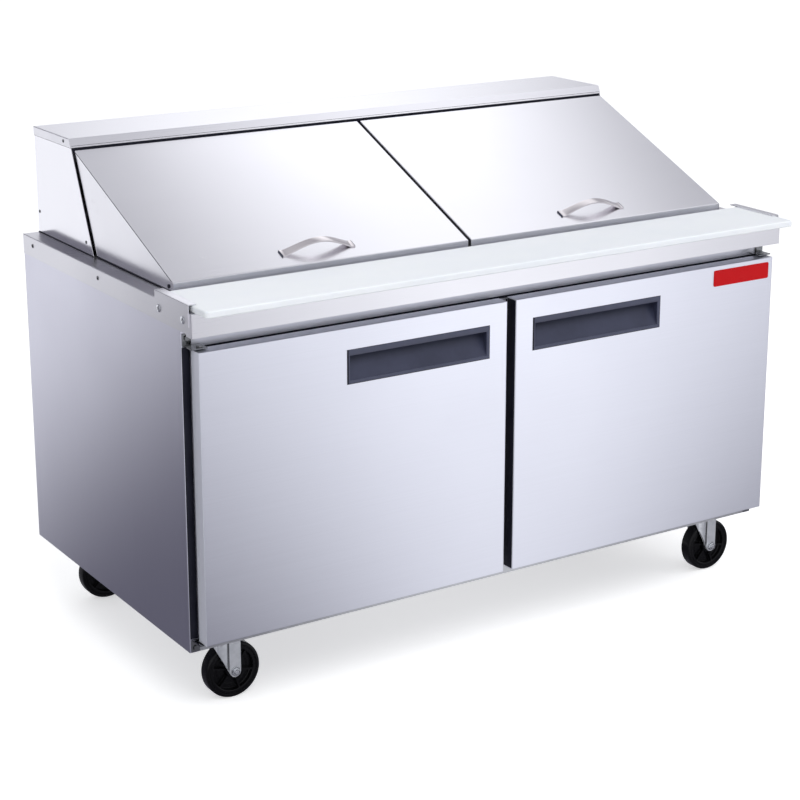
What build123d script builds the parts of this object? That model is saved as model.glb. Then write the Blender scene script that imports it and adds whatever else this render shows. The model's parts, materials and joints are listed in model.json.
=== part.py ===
from build123d import *
import math
import os

# Refrigerated sandwich prep table with two doors, two lids and a full-width cutting board.
# Lengths are in millimetres. The origin is on the floor, under the middle of the bounding box.
# +X is to the right of someone standing at the cutting board, +Y is to the rear and +Z is up.

# Sheet metal
SHEET = 1.2
EDGE_RADIUS = 1.8

# Overall places
REAR_Y = 446.5
CASE_HALF_WIDTH = 763.5
CASE_BOTTOM = 158.0
CASE_FRONT_Y = -343.5
FACE_Y = -341.5
TOP_HALF_WIDTH = 765.0
TOP_Z = 890.0
TOP_FRONT_Y = -396.5
SIDE_FLANGE_Z = 845.0
RAIL_BOTTOM_Z = 840.0
RETURN_WIDTH = 20.5

# Door openings and doors
MULLION_HALF = 45.0
OPENING_OUTER_X = 705.0
OPENING_Z = (222.0, 775.0)
DOOR_X = (11.6, 750.0)
DOOR_Z = (188.0, 809.0)
DOOR_FRONT_Y = -393.5
DOOR_STEEL_BACK_Y = -360.5
DOOR_BACK_Y = -354.5
GASKET_FACE_Y = -342.5
HINGE_X = 735.0
HINGE_Y = -367.5
HINGE_PIN_RADIUS = 5.0
HINGE_SHEET = 2.5
HINGE_PIN_LENGTH = 18.0
HINGE_ARM_X = (722.0, 757.0)
HINGE_LEAF_X = (742.0, 761.0)
HINGE_TOP_Z = (811.0, 838.0)
HINGE_LOW_Z = (186.0, 160.0)
RUNNING_GAP = 0.05
HANDLE_X = (57.0, 413.0)
HANDLE_Z = (689.0, 763.0)

# Pan well and cold box
WELL_X = 712.0
WELL_Y = (-233.5, 260.5)
LEDGE_Z = 885.2
LEDGE_WIDTH = 7.0
PAN_COLUMNS = 8
PAN_ROWS = 3
PAN_RIM = (176.0, 162.0)
PAN_BODY = (160.0, 146.0)
PAN_DEPTH = 150.0
LINER_X = 713.0
LINER_FLOOR_Z = 203.0
LOWER_BACK_Y = 186.0
UPPER_BACK_Y = 347.0
STEP_Z = 600.0
SHELF_Z = 450.0

# Hood and lids
HOOD_HALF_WIDTH = 726.4
HOOD_TOP_Z = 1133.0
HOOD_TOP_FRONT_Y = 249.9
HOOD_STRIP_Y = 240.5
HOOD_STRIP_Z = 1113.6
HOOD_FOOT_Y = 143.9
LID_X = (4.0, 721.5)
LID_REAR = (235.5, 1110.0)
LID_FRONT = (-232.5, 912.0)
LID_BOTTOM_Z = 892.0
LID_PIVOT = (230.5, 1101.0)
LID_HINGE_X = (110.0, 615.0)
LID_SLOPE = math.degrees(math.atan2(LID_REAR[1] - LID_FRONT[1], LID_REAR[0] - LID_FRONT[0]))

# Cutting board and its brackets
BOARD_HALF_WIDTH = 758.6
BOARD_Y = (-446.5, -259.5)
BOARD_Z = (890.3, 904.9)
BRACKET_X = (765.1, 767.6)
BRACKET_Y = (-387.5, -240.5)
BRACKET_Z = (861.5, 907.3)

# Casters
CASTER_X = 662.0
CASTER_YS = {"front": -265.5, "rear": 371.5}
CASTER_TRAIL = 30.0
WHEEL_RADIUS = 63.5
WHEEL_HALF_WIDTH = 16.0
AXLE_RADIUS = 6.0
FORK_INNER = 19.0
FORK_SHEET = 3.0

# Refrigeration
CONDENSER_FAN = (-420.0, 362.0, 345.0)
CONDENSER_FAN_RADIUS = 115.0
EVAPORATOR_FAN = (0.0, 236.0, 662.0)
EVAPORATOR_FAN_RADIUS = 42.0
SHAFT_RADIUS = 4.0
COMPRESSOR_AT = (110.0, 335.0)
LINE_RADIUS = 4.0
LINE_RISERS = ((438.0, 300.0), (456.0, 300.0))


def block(x, y, z):
    """A box between two limits along each axis."""
    size = [abs(pair[1] - pair[0]) for pair in (x, y, z)]
    middle = [(pair[0] + pair[1]) / 2 for pair in (x, y, z)]
    return Pos(*middle) * Box(*size)


def along_x(points, x):
    """A prism with its outline in the YZ plane."""
    outline = make_face(Polyline(*points, close=True))
    start = Plane((min(x), 0, 0), x_dir=(0, 1, 0), z_dir=(1, 0, 0))
    return extrude(start * outline, abs(x[1] - x[0]), dir=(1, 0, 0))


def along_y(points, y):
    """A prism with its outline in the XZ plane."""
    outline = make_face(Polyline(*points, close=True))
    start = Plane((0, min(y), 0), x_dir=(1, 0, 0), z_dir=(0, -1, 0))
    return extrude(start * outline, abs(y[1] - y[0]), dir=(0, 1, 0))


def rod(start, axis, radius, length):
    """A round bar that starts at a point and runs along an axis."""
    base = Plane(origin=start, z_dir=axis)
    return base * Cylinder(radius, length, align=(Align.CENTER, Align.CENTER, Align.MIN))


def group(*pieces):
    """Several separate solids in one node."""
    return Compound([solid for piece in pieces for solid in piece.solids()])


def other_side(shape):
    """The mirror image across the centre plane."""
    return mirror(shape, about=Plane.YZ)


def screw_head(at, axis, radius, height):
    """A domed head with a cross recess, standing on a surface."""
    head = Cylinder(radius, height, align=(Align.CENTER, Align.CENTER, Align.MIN))
    head = fillet(head.edges().sort_by(Axis.Z)[-1], height * 0.85)
    for turn in (0, 90):
        slot = Box(radius * 1.1, radius * 0.22, height, align=(Align.CENTER, Align.CENTER, Align.MIN))
        head -= Pos(0, 0, height * 0.45) * Rot(0, 0, turn) * slot
    return Plane(origin=at, z_dir=axis) * head


def hex_head(at, axis, across_flats, height):
    """A hexagon bolt head standing on a surface."""
    outline = RegularPolygon(across_flats / 2, 6, major_radius=False)
    return Plane(origin=at, z_dir=axis) * extrude(outline, height)


# Case


def side_panel(side):
    """Folded side sheet with returns along its front, rear and bottom."""
    inner = CASE_HALF_WIDTH - RETURN_WIDTH
    rear = REAR_Y - SHEET - 0.2
    skin = block((CASE_HALF_WIDTH - SHEET, CASE_HALF_WIDTH), (CASE_FRONT_Y, rear), (CASE_BOTTOM, TOP_Z - 2.5))
    front = block((inner, CASE_HALF_WIDTH), (CASE_FRONT_Y, CASE_FRONT_Y + SHEET), (CASE_BOTTOM, TOP_Z - 2.5))
    back = block((inner, CASE_HALF_WIDTH), (rear - SHEET, rear), (CASE_BOTTOM, TOP_Z - 2.5))
    foot = block((inner, CASE_HALF_WIDTH), (CASE_FRONT_Y, rear), (CASE_BOTTOM, CASE_BOTTOM + SHEET))
    panel = skin + front + back + foot
    corner = panel.edges().filter_by(Axis.Z).group_by(Axis.Y)[0].sort_by(Axis.X)[-1]
    panel = fillet(corner, EDGE_RADIUS)
    return panel if side > 0 else other_side(panel)


def base_pan():
    """Floor sheet of the case with a lip along the front and the rear."""
    sheet = 1.5
    front = FACE_Y - sheet
    rear = REAR_Y - SHEET - 0.5
    low = CASE_BOTTOM
    lip = low + 28.0
    outline = [
        (front, low),
        (rear, low),
        (rear, lip),
        (rear - sheet, lip),
        (rear - sheet, low + sheet),
        (front + sheet, low + sheet),
        (front + sheet, lip),
        (front, lip),
    ]
    half = CASE_HALF_WIDTH - RETURN_WIDTH - 0.5
    return along_x(outline, (-half, half))


def back_panel():
    """Rear sheet with windows for the grille, the controller and the power inlet."""
    y = (REAR_Y - SHEET, REAR_Y)
    panel = block((-CASE_HALF_WIDTH, CASE_HALF_WIDTH), y, (CASE_BOTTOM + 1.5, SIDE_FLANGE_Z - 0.5))
    panel -= block((-640, 640), y, (200, 540))
    panel -= block((500, 578), y, (600, 632))
    panel -= block((640, 690), y, (598, 634))
    return panel


def rear_grille():
    """Louvred sheet over the machine space, screwed to the inside of the back panel."""
    y = (REAR_Y - 2 * SHEET, REAR_Y - SHEET)
    grille = block((-655, 655), y, (186, 556))
    for column in (-465, -155, 155, 465):
        for row in range(17):
            low = 212 + 19 * row
            grille -= block((column - 135, column + 135), y, (low, low + 9))
    return grille


def face_frame():
    """Sheet around both door openings, folded back into each one."""
    half = CASE_HALF_WIDTH - RETURN_WIDTH - 1
    frame = block((-half, half), (FACE_Y, FACE_Y + SHEET), (CASE_BOTTOM + 2, TOP_Z - 2.5))
    low, high = OPENING_Z
    for x in ((-OPENING_OUTER_X, -MULLION_HALF), (MULLION_HALF, OPENING_OUTER_X)):
        jamb = block((x[0] - SHEET, x[1] + SHEET), (FACE_Y, FACE_Y + 40), (low - SHEET, high + SHEET))
        frame += jamb
        frame -= block(x, (FACE_Y, FACE_Y + 40), OPENING_Z)
    return frame


def countertop():
    """Top sheet with a front rail, side and rear flanges and a ledge around the pan well."""
    width = (-TOP_HALF_WIDTH, TOP_HALF_WIDTH)
    top = block(width, (TOP_FRONT_Y, REAR_Y), (RAIL_BOTTOM_Z, TOP_Z))
    rounded = top.edges().group_by(Axis.Z)[-1] + top.edges().filter_by(Axis.Z).group_by(Axis.Y)[0]
    top = fillet(rounded, EDGE_RADIUS)
    inside = TOP_HALF_WIDTH - SHEET
    top -= block((-inside, inside), (TOP_FRONT_Y + SHEET, REAR_Y - SHEET), (RAIL_BOTTOM_Z + SHEET, TOP_Z - SHEET))
    lip_y = TOP_FRONT_Y + 25
    top -= block((-inside, inside), (lip_y, REAR_Y - SHEET), (RAIL_BOTTOM_Z, RAIL_BOTTOM_Z + SHEET))
    top -= block(width, (lip_y, REAR_Y), (RAIL_BOTTOM_Z, SIDE_FLANGE_Z))
    low, high = WELL_Y
    rim = (LEDGE_Z - SHEET, TOP_Z)
    top += block((-WELL_X - SHEET, WELL_X + SHEET), (low - SHEET, high + SHEET), rim)
    top -= block((-WELL_X, WELL_X), WELL_Y, (LEDGE_Z, TOP_Z))
    inner = WELL_X - LEDGE_WIDTH
    top -= block((-inner, inner), (low + LEDGE_WIDTH, high - LEDGE_WIDTH), rim)
    return top


def insulation():
    """Foam slabs between the liner and the outer sheets."""
    outer = CASE_HALF_WIDTH - SHEET - 0.3
    inner = LINER_X + SHEET + 0.3
    front = FACE_Y + SHEET + 0.3
    floor_z = (CASE_BOTTOM + 3, LINER_FLOOR_Z)
    step = (STEP_Z - 40, STEP_Z - SHEET)
    slabs = [block((-inner, inner), (front, 221), floor_z)]
    for side in (-1, 1):
        x = (side * inner, side * outer)
        slabs.append(block(x, (front, 221), (floor_z[0], step[0])))
        slabs.append(block(x, (front, 385), (step[0], TOP_Z - 2.6)))
    slabs.append(block((-inner, inner), (LOWER_BACK_Y, 221), (LINER_FLOOR_Z, step[0])))
    ledge = block((-inner, inner), (LOWER_BACK_Y, 385), step)
    for x, y in LINE_RISERS:
        ledge -= rod((x, y, step[0]), (0, 0, 1), LINE_RADIUS + 1, 60)
    slabs.append(ledge)
    slabs.append(block((-inner, inner), (UPPER_BACK_Y, 385), (step[1], TOP_Z - 2.6)))
    slabs.append(block((-LINER_X, LINER_X), (FACE_Y + 41, -237.4), (777.6, TOP_Z - 2.6)))
    core = MULLION_HALF - SHEET - 0.3
    slabs.append(block((-core, core), (front, FACE_Y + 40), OPENING_Z))
    return group(*slabs)


def liner():
    """Inner sheets of the cold box, stepped back over the machine space."""
    wide = (-LINER_X, LINER_X)
    front = FACE_Y + 41
    high = LEDGE_Z - SHEET - 0.2
    floor = (LINER_FLOOR_Z, LINER_FLOOR_Z + SHEET)
    step = (STEP_Z - SHEET, STEP_Z)
    sheets = [block(wide, (front, LOWER_BACK_Y - SHEET), floor)]
    side_outline = [
        (front, floor[0]),
        (LOWER_BACK_Y, floor[0]),
        (LOWER_BACK_Y, step[0]),
        (UPPER_BACK_Y, step[0]),
        (UPPER_BACK_Y, high),
        (front, high),
    ]
    for side in (-1, 1):
        sheets.append(along_x(side_outline, (side * LINER_X, side * (LINER_X + SHEET))))
    sheets.append(block(wide, (LOWER_BACK_Y - SHEET, LOWER_BACK_Y), (floor[0], STEP_Z - SHEET)))
    ledge = block(wide, (LOWER_BACK_Y - SHEET, UPPER_BACK_Y - SHEET), step)
    for x, y in LINE_RISERS:
        ledge -= rod((x, y, step[0]), (0, 0, 1), LINE_RADIUS + 1, 4)
    sheets.append(ledge)
    sheets.append(block(wide, (UPPER_BACK_Y - SHEET, UPPER_BACK_Y), (STEP_Z - SHEET, high)))
    sheets.append(block(wide, (-237.2, -236.0), (776.2, high)))
    sheets.append(block(wide, (front, -237.2), (776.2, 777.4)))
    return group(*sheets)


def shelf_supports():
    """Eight slotted standards and a clip on each at the shelf's height."""
    pieces = []
    for side in (-1, 1):
        places = [
            (side * (LINER_X - 2), side * LINER_X, -278, -262, side * (LINER_X - 12), -270),
            (side * (LINER_X - 2), side * LINER_X, 142, 158, side * (LINER_X - 12), 150),
            (side * 20, side * 36, -301.5, -299.5, side * 28, -294),
            (side * 20, side * 36, LOWER_BACK_Y - SHEET - 2, LOWER_BACK_Y - SHEET, side * 28, 177),
        ]
        for x0, x1, y0, y1, clip_x, clip_y in places:
            pieces.append(block((x0, x1), (y0, y1), (240, 720)))
            near_x = (clip_x - 6, clip_x + 6)
            near_y = (clip_y - 4, clip_y + 4)
            if abs(x0) > 100:
                near_x = (side * (LINER_X - 14), side * (LINER_X - 2))
            elif y0 < 0:
                near_y = (y1, y1 + 17)
            else:
                near_y = (y0 - 17, y0)
            pieces.append(block(near_x, near_y, (SHELF_Z - 12, SHELF_Z - 3)))
    return group(*pieces)


def wire_shelf(side):
    """One coated wire shelf: a rim of bent bar, two cross bars and a row of wires."""
    x0, x1 = 24.0, LINER_X - 6.5
    y0, y1 = -286.0, 168.0
    bar, wire = 3.0, 1.8
    bars = [rod((x, y0 - bar, SHELF_Z), (0, 1, 0), bar, y1 - y0 + 2 * bar) for x in (x0, x1)]
    for i in range(4):
        y = y0 + (y1 - y0) * i / 3
        bars.append(rod((x0, y, SHELF_Z), (1, 0, 0), bar - 0.2, x1 - x0))
    count = 23
    for i in range(1, count):
        x = x0 + (x1 - x0) * i / count
        bars.append(rod((x, y0 - 2.2, SHELF_Z + bar), (0, 1, 0), wire, y1 - y0 + 4.4))
    shelf = bars[0] + bars[1:]
    return shelf if side > 0 else other_side(shelf)


def food_pan():
    """A drawn steel pan with a flat rim, its rim's underside at z = 0 and its middle at the origin."""
    wall, rim = 1.0, 2.0
    rim_plate = extrude(RectangleRounded(*PAN_RIM, 14), rim)
    body = extrude(RectangleRounded(*PAN_BODY, 22), -PAN_DEPTH, taper=2)
    pan = rim_plate + body
    hollow = (PAN_BODY[0] - 2 * wall, PAN_BODY[1] - 2 * wall)
    pan -= extrude(RectangleRounded(*hollow, 21), -(PAN_DEPTH - wall), taper=2)
    pan -= extrude(RectangleRounded(*hollow, 21), rim)
    return pan


def pan_places():
    """Middle of each pan, column by column."""
    pitch_x = 2 * WELL_X / PAN_COLUMNS
    pitch_y = (WELL_Y[1] - WELL_Y[0]) / PAN_ROWS
    for column in range(PAN_COLUMNS):
        for row in range(PAN_ROWS):
            yield -WELL_X + pitch_x * (column + 0.5), WELL_Y[0] + pitch_y * (row + 0.5)


def food_pans():
    pan = food_pan()
    return group(*[Pos(x, y, LEDGE_Z + 0.2) * pan for x, y in pan_places()])


def pan_bars():
    """Bars between the columns of pans, which carry the pans' rims."""
    pitch = 2 * WELL_X / PAN_COLUMNS
    y = (WELL_Y[0] + LEDGE_WIDTH, WELL_Y[1] - LEDGE_WIDTH)
    bars = []
    for i in range(1, PAN_COLUMNS):
        x = -WELL_X + pitch * i
        bars.append(block((x - 5, x + 5), y, (LEDGE_Z - 9, LEDGE_Z)))
    return group(*bars)


# Hood


def hood_top():
    """Top sheet of the hood: rear drop, top, slanted front strip, and a flange that laps each side."""
    rear = REAR_Y - 1
    outline = [
        (rear, HOOD_STRIP_Z),
        (rear, HOOD_TOP_Z),
        (HOOD_TOP_FRONT_Y, HOOD_TOP_Z),
        (HOOD_STRIP_Y, HOOD_STRIP_Z),
    ]
    half = HOOD_HALF_WIDTH + SHEET
    top = along_x(outline, (-half, half))
    top = fillet(top.edges().group_by(Axis.Z)[-1], EDGE_RADIUS)
    slope = (HOOD_TOP_FRONT_Y - HOOD_STRIP_Y) / (HOOD_TOP_Z - HOOD_STRIP_Z)
    low = HOOD_STRIP_Z
    high = HOOD_TOP_Z - SHEET
    inner_top = HOOD_TOP_FRONT_Y + SHEET - slope * SHEET
    hollow = [
        (rear - SHEET, low),
        (rear - SHEET, high),
        (inner_top, high),
        (HOOD_STRIP_Y + SHEET, low),
    ]
    return top - along_x(hollow, (-HOOD_HALF_WIDTH - 0.1, HOOD_HALF_WIDTH + 0.1))


def hood_sides():
    """Two side sheets, each with a folded foot on the countertop."""
    rear = REAR_Y - 1 - SHEET - 0.2
    high = HOOD_TOP_Z - SHEET - 0.2
    outline = [
        (rear, TOP_Z),
        (HOOD_FOOT_Y, TOP_Z),
        (HOOD_STRIP_Y + SHEET + 0.2, HOOD_STRIP_Z),
        (HOOD_TOP_FRONT_Y + SHEET + 0.2, high),
        (rear, high),
    ]
    sheet = along_x(outline, (HOOD_HALF_WIDTH - SHEET, HOOD_HALF_WIDTH))
    sheet += block((HOOD_HALF_WIDTH - 13, HOOD_HALF_WIDTH), (WELL_Y[1] + 20, rear), (TOP_Z, TOP_Z + SHEET))
    return group(sheet, other_side(sheet))


def hood_back():
    """Rear sheet of the hood."""
    half = HOOD_HALF_WIDTH - SHEET - 0.3
    rear = REAR_Y - 1 - SHEET - 0.2
    return block((-half, half), (rear - SHEET, rear), (TOP_Z + SHEET + 0.3, HOOD_STRIP_Z + 10))


def hood_lining():
    """Inner sheet of the hood, which leans from the strip down to the rear of the pan well."""
    half = HOOD_HALF_WIDTH - SHEET - 0.3
    high = (HOOD_STRIP_Y + SHEET + 1.5, HOOD_STRIP_Z - 3)
    low = (WELL_Y[1] + 8, TOP_Z)
    sheet = along_x(
        [high, low, (low[0] + SHEET, low[1]), (high[0] + SHEET, high[1])],
        (-half, half),
    )
    foot = block((-half, half), (low[0], low[0] + 11), (TOP_Z, TOP_Z + SHEET))
    return sheet + foot


def lid_hinges():
    """Fixed halves of the four lid hinges: a leaf on the hood lining, an arm, a knuckle and the pin."""
    y, z = LID_PIVOT
    knuckle, pin = 5.0, 2.5
    pieces = []
    for side in (-1, 1):
        for x in LID_HINGE_X:
            middle = side * x
            wide = (middle - 10, middle + 10)
            part = rod((middle - 10, y, z), (1, 0, 0), knuckle, 20)
            arm = [(y - 2, z - 3), (y + 1.5, z - 3), (y + 1.5, z - 22), (247.2, 1072), (250.6, 1042), (249, 1042)]
            arm += [(246.5, 1062), (y - 2, z - 24)]
            part += along_x(arm, wide)
            part += rod((middle - 27, y, z), (1, 0, 0), pin, 54)
            pieces.append(part)
    return group(*pieces)


# Lids


def lid_point(along, down):
    """A point in a lid's side view: a distance along its slope and a distance below its outer face."""
    slope = math.radians(LID_SLOPE)
    y = LID_REAR[0] - along * math.cos(slope) + down * math.sin(slope)
    z = LID_REAR[1] - along * math.sin(slope) - down * math.cos(slope)
    return (y, z)


def lid_outline(inset):
    """Side view of a lid cheek, with its upper and front edges drawn in by an inset."""
    rear_top = lid_point(3, inset)
    slope = math.radians(LID_SLOPE)
    front_top = (LID_FRONT[0] + inset, LID_FRONT[1] + inset * (math.tan(slope) - 1 / math.cos(slope)))
    return [
        rear_top,
        (135.5, LID_BOTTOM_Z),
        (LID_FRONT[0] + inset, LID_BOTTOM_Z),
        front_top,
    ]


def lid_skin(side):
    """Outer sheet of a lid: sloping top, two triangular cheeks and a front flange."""
    x0, x1 = LID_X
    body = along_x(lid_outline(0) + [LID_REAR], (x0, x1))
    top_edges = [e for e in body.edges() if e.center().Z > 1005 or e.center().Y < LID_FRONT[0] + 1]
    top_edges = [e for e in top_edges if e.center().Z > LID_BOTTOM_Z + 5 and e.center().Y < LID_REAR[0] - 5]
    long_edges = [e for e in top_edges if e.length > 100]
    body = fillet(long_edges, EDGE_RADIUS)
    hollow = lid_outline(SHEET)
    hollow[0] = lid_point(-6, SHEET)
    hollow[1] = (LID_REAR[0] + 9, LID_BOTTOM_Z - 4)
    hollow[2] = (hollow[2][0], LID_BOTTOM_Z - 4)
    body -= along_x(hollow, (x0 + SHEET, x1 - SHEET))
    return body if side > 0 else other_side(body)


def lid_liner(side):
    """Inner pan of a lid, and the moving leaves of its two hinges."""
    x0, x1 = LID_X[0] + SHEET + 0.3, LID_X[1] - SHEET - 0.3
    depth = 24.0
    length = math.dist(LID_REAR, LID_FRONT)
    near, far = 34.0, length - 14
    outline = [
        lid_point(near, 2),
        lid_point(near, depth),
        lid_point(far, depth),
        lid_point(far, 2),
        lid_point(far - SHEET, 2),
        lid_point(far - SHEET, depth - SHEET),
        lid_point(near + SHEET, depth - SHEET),
        lid_point(near + SHEET, 2),
    ]
    pan = along_x(outline, (x0, x1))
    pieces = [pan]
    y, z = LID_PIVOT
    for x in LID_HINGE_X:
        for offset in (-25, 10.3):
            span = (x + offset, x + offset + 14.7)
            leaf = along_x([lid_point(8, 1.4), lid_point(32, 1.4), lid_point(32, 3.4), lid_point(8, 7)], span)
            leaf += rod((span[0], y, z), (1, 0, 0), 5.0, 14.7)
            leaf -= rod((span[0] - 1, y, z), (1, 0, 0), 2.5 + RUNNING_GAP, 17)
            leaf -= along_x([lid_point(-9, 1.35), lid_point(-9, -9), lid_point(32, -9), lid_point(32, 1.35)], span)
            pieces.append(leaf)
    whole = group(*pieces)
    return whole if side > 0 else other_side(whole)


def lid_handle(side):
    """Arched strap handle with flat feet, standing on a lid's sloping face."""
    half, foot = 87.5, 62.0
    outline = Polyline((foot + 3, 3), (half, 3), (half, 0), (foot, 0))
    outline += ThreePointArc((foot, 0), (0, 23.4), (-foot, 0))
    outline += Polyline((-foot, 0), (-half, 0), (-half, 3), (-foot - 3, 3))
    outline += ThreePointArc((-foot - 3, 3), (0, 26.5), (foot + 3, 3))
    strap = extrude(make_face(outline), 6.5, both=True)
    y, z = lid_point(465, 0)
    lean = math.radians(LID_SLOPE)
    up = (0, -math.sin(lean), math.cos(lean))
    down_slope = (0, math.cos(lean), math.sin(lean))
    place = Plane(origin=(side * 364.5, y, z), x_dir=(1, 0, 0), z_dir=tuple(-c for c in down_slope))
    if place.y_dir.dot(Vector(*up)) < 0:
        place = Plane(origin=place.origin, x_dir=(1, 0, 0), z_dir=down_slope)
    return place * strap


# Cutting board


def cutting_board():
    """Thick plastic board with rounded edges and corners."""
    board = block((-BOARD_HALF_WIDTH, BOARD_HALF_WIDTH), BOARD_Y, BOARD_Z)
    board = fillet(board.edges().filter_by(Axis.Z), 9)
    rims = board.edges().group_by(Axis.Z)
    return fillet(rims[0] + rims[-1], 3.5)


def board_brackets():
    """Angles at the ends of the cutting board, each with a lip over it."""
    inner, outer = BRACKET_X
    plate = block(BRACKET_X, BRACKET_Y, BRACKET_Z)
    lip = block((748.5, outer), BRACKET_Y, (BRACKET_Z[1] - 2, BRACKET_Z[1]))
    angle = plate + lip
    top_edge = angle.edges().filter_by(Axis.Y).group_by(Axis.Z)[-1].sort_by(Axis.X)[-1]
    angle = fillet(top_edge, EDGE_RADIUS)
    return group(angle, other_side(angle))


def case_screws():
    """Screws of the board brackets, the countertop flanges and the hood."""
    pieces = []
    for side in (-1, 1):
        out = (side, 0, 0)
        for y in (REAR_Y - 705, REAR_Y - 811):
            pieces.append(screw_head((side * BRACKET_X[1], y, 872.5), out, 8.2, 2.4))
        for y in (REAR_Y - 54, REAR_Y - 407):
            pieces.append(screw_head((side * TOP_HALF_WIDTH, y, 871), out, 4.5, 1.8))
        edge = HOOD_HALF_WIDTH
        pieces.append(screw_head((side * (edge + SHEET), REAR_Y - 168, 1124), out, 3.6, 1.5))
        for y, z in ((REAR_Y - 12, 939), (REAR_Y - 266, 916)):
            pieces.append(screw_head((side * edge, y, z), out, 3.6, 1.5))
    return pieces


# Doors


def door_skin(side):
    """Folded outer sheet of a door with a window for the handle and a hole at each hinge pin."""
    x0, x1 = DOOR_X
    z0, z1 = DOOR_Z
    skin = block(DOOR_X, (DOOR_FRONT_Y, DOOR_STEEL_BACK_Y), DOOR_Z)
    front = skin.edges().group_by(Axis.Y)[0]
    skin = fillet(front, EDGE_RADIUS)
    inside_y = (DOOR_FRONT_Y + SHEET, DOOR_STEEL_BACK_Y - SHEET)
    skin -= block((x0 + SHEET, x1 - SHEET), inside_y, (z0 + SHEET, z1 - SHEET))
    edge = 14
    back_y = (DOOR_STEEL_BACK_Y - SHEET, DOOR_STEEL_BACK_Y)
    skin -= block((x0 + edge, x1 - edge), back_y, (z0 + edge, z1 - edge))
    window = (HANDLE_X[0] + 3, HANDLE_X[1] - 3), (HANDLE_Z[0] + 3, HANDLE_Z[1] - 3)
    skin -= block(window[0], (DOOR_FRONT_Y, DOOR_FRONT_Y + SHEET), window[1])
    for z in (z0 - 1, z1 - 3):
        skin -= rod((HINGE_X, HINGE_Y, z), (0, 0, 1), HINGE_PIN_RADIUS + RUNNING_GAP, 4)
    return skin if side > 0 else other_side(skin)


def door_foam(side):
    """Foam core of a door, with room for the handle tray and the hinge pins."""
    gap = SHEET + 0.3
    y = (DOOR_FRONT_Y + gap, DOOR_STEEL_BACK_Y - gap)
    foam = block((DOOR_X[0] + gap, DOOR_X[1] - gap), y, (DOOR_Z[0] + gap, DOOR_Z[1] - gap))
    foam -= block((HANDLE_X[0] - 2, HANDLE_X[1] + 2), y, (HANDLE_Z[0] - 2, HANDLE_Z[1] + 2))
    for z in (DOOR_Z[0], DOOR_Z[1] - 24):
        foam -= block((HINGE_X - 9, DOOR_X[1]), y, (z, z + 24))
    return foam if side > 0 else other_side(foam)


def door_liner(side):
    """Moulded inner panel of a door with a raised middle."""
    y = (DOOR_STEEL_BACK_Y + 0.1, DOOR_BACK_Y - 0.1)
    panel = block((DOOR_X[0] + 4, DOOR_X[1] - 4), y, (DOOR_Z[0] + 4, DOOR_Z[1] - 4))
    edges = panel.edges().filter_by(Axis.Y)
    panel = fillet(edges, 3)
    middle = block((62, 691), (y[1], y[1] + 8), (240, 757))
    middle = fillet(middle.edges().filter_by(Axis.Y), 12)
    panel += middle
    return panel if side > 0 else other_side(panel)


def door_gasket(side):
    """Magnetic gasket around the inner face of a door."""
    x0, x1, z0, z1 = 20.0, 733.0, 198.0, 799.0
    width = 22.0
    y = (DOOR_BACK_Y, GASKET_FACE_Y)
    ring = block((x0, x1), y, (z0, z1))
    ring = fillet(ring.edges().filter_by(Axis.Y), 5)
    ring -= block((x0 + width, x1 - width), y, (z0 + width, z1 - width))
    return ring if side > 0 else other_side(ring)


def door_handle(side):
    """Recessed plastic tray: a thin frame around a pocket that is deep at its top and shallow at its foot."""
    x0, x1 = HANDLE_X
    z0, z1 = HANDLE_Z
    proud = DOOR_FRONT_Y - 0.8
    tray = block(HANDLE_X, (proud, DOOR_FRONT_Y), HANDLE_Z)
    tray += block((x0 + 3.3, x1 - 3.3), (DOOR_FRONT_Y, DOOR_FRONT_Y + 29), (z0 + 3.3, z1 - 3.3))
    pocket = [(proud, z0 + 6), (proud, z1 - 9), (DOOR_FRONT_Y + 26, z1 - 9)]
    tray -= along_x(pocket, (x0 + 6, x1 - 6))
    return tray if side > 0 else other_side(tray)


def name_plate():
    """Blank plate on the right door."""
    plate = block((570, 737), (DOOR_FRONT_Y - 1.4, DOOR_FRONT_Y), (761, 799))
    return fillet(plate.edges().filter_by(Axis.Y), 2)


def door_hinges():
    """Hinge brackets on the case's front corners, above and below each door, with their pins and bolts."""
    pieces = []
    leaf_front = CASE_FRONT_Y - HINGE_SHEET
    bolt_x = (HINGE_LEAF_X[0] + HINGE_LEAF_X[1]) / 2
    for side in (-1, 1):
        arm_x = [side * x for x in HINGE_ARM_X]
        leaf_x = [side * x for x in HINGE_LEAF_X]
        for z, leaf_end in (HINGE_TOP_Z, HINGE_LOW_Z):
            away = 1 if leaf_end > z else -1
            arm_end = z + away * HINGE_SHEET
            bracket = block(leaf_x, (leaf_front, CASE_FRONT_Y), sorted((z, leaf_end)))
            bracket += block(arm_x, (HINGE_Y - 10, CASE_FRONT_Y), sorted((z, arm_end)))
            pin_base = (side * HINGE_X, HINGE_Y, z + away)
            bracket += rod(pin_base, (0, 0, -away), HINGE_PIN_RADIUS, HINGE_PIN_LENGTH)
            bracket += hex_head((side * HINGE_X, HINGE_Y, arm_end), (0, 0, away), 13, 4)
            bracket += hex_head((side * bolt_x, leaf_front, leaf_end - away * 9), (0, -1, 0), 10, 3.5)
            pieces.append(bracket)
    return group(*pieces)


# Casters


def caster_plates():
    """Four top plates with the kingpins that the forks turn on."""
    pieces = []
    for side in (-1, 1):
        for y in CASTER_YS.values():
            plate = block((-47, 47), (-47, 47), (CASE_BOTTOM - 4, CASE_BOTTOM))
            plate = fillet(plate.edges().filter_by(Axis.Z), 8)
            plate += rod((0, 0, 132), (0, 0, 1), 6, CASE_BOTTOM - 133)
            plate += hex_head((0, 0, 136.6), (0, 0, -1), 18, 6)
            pieces.append(Pos(side * CASTER_X, y, 0) * plate)
    return group(*pieces)


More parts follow.
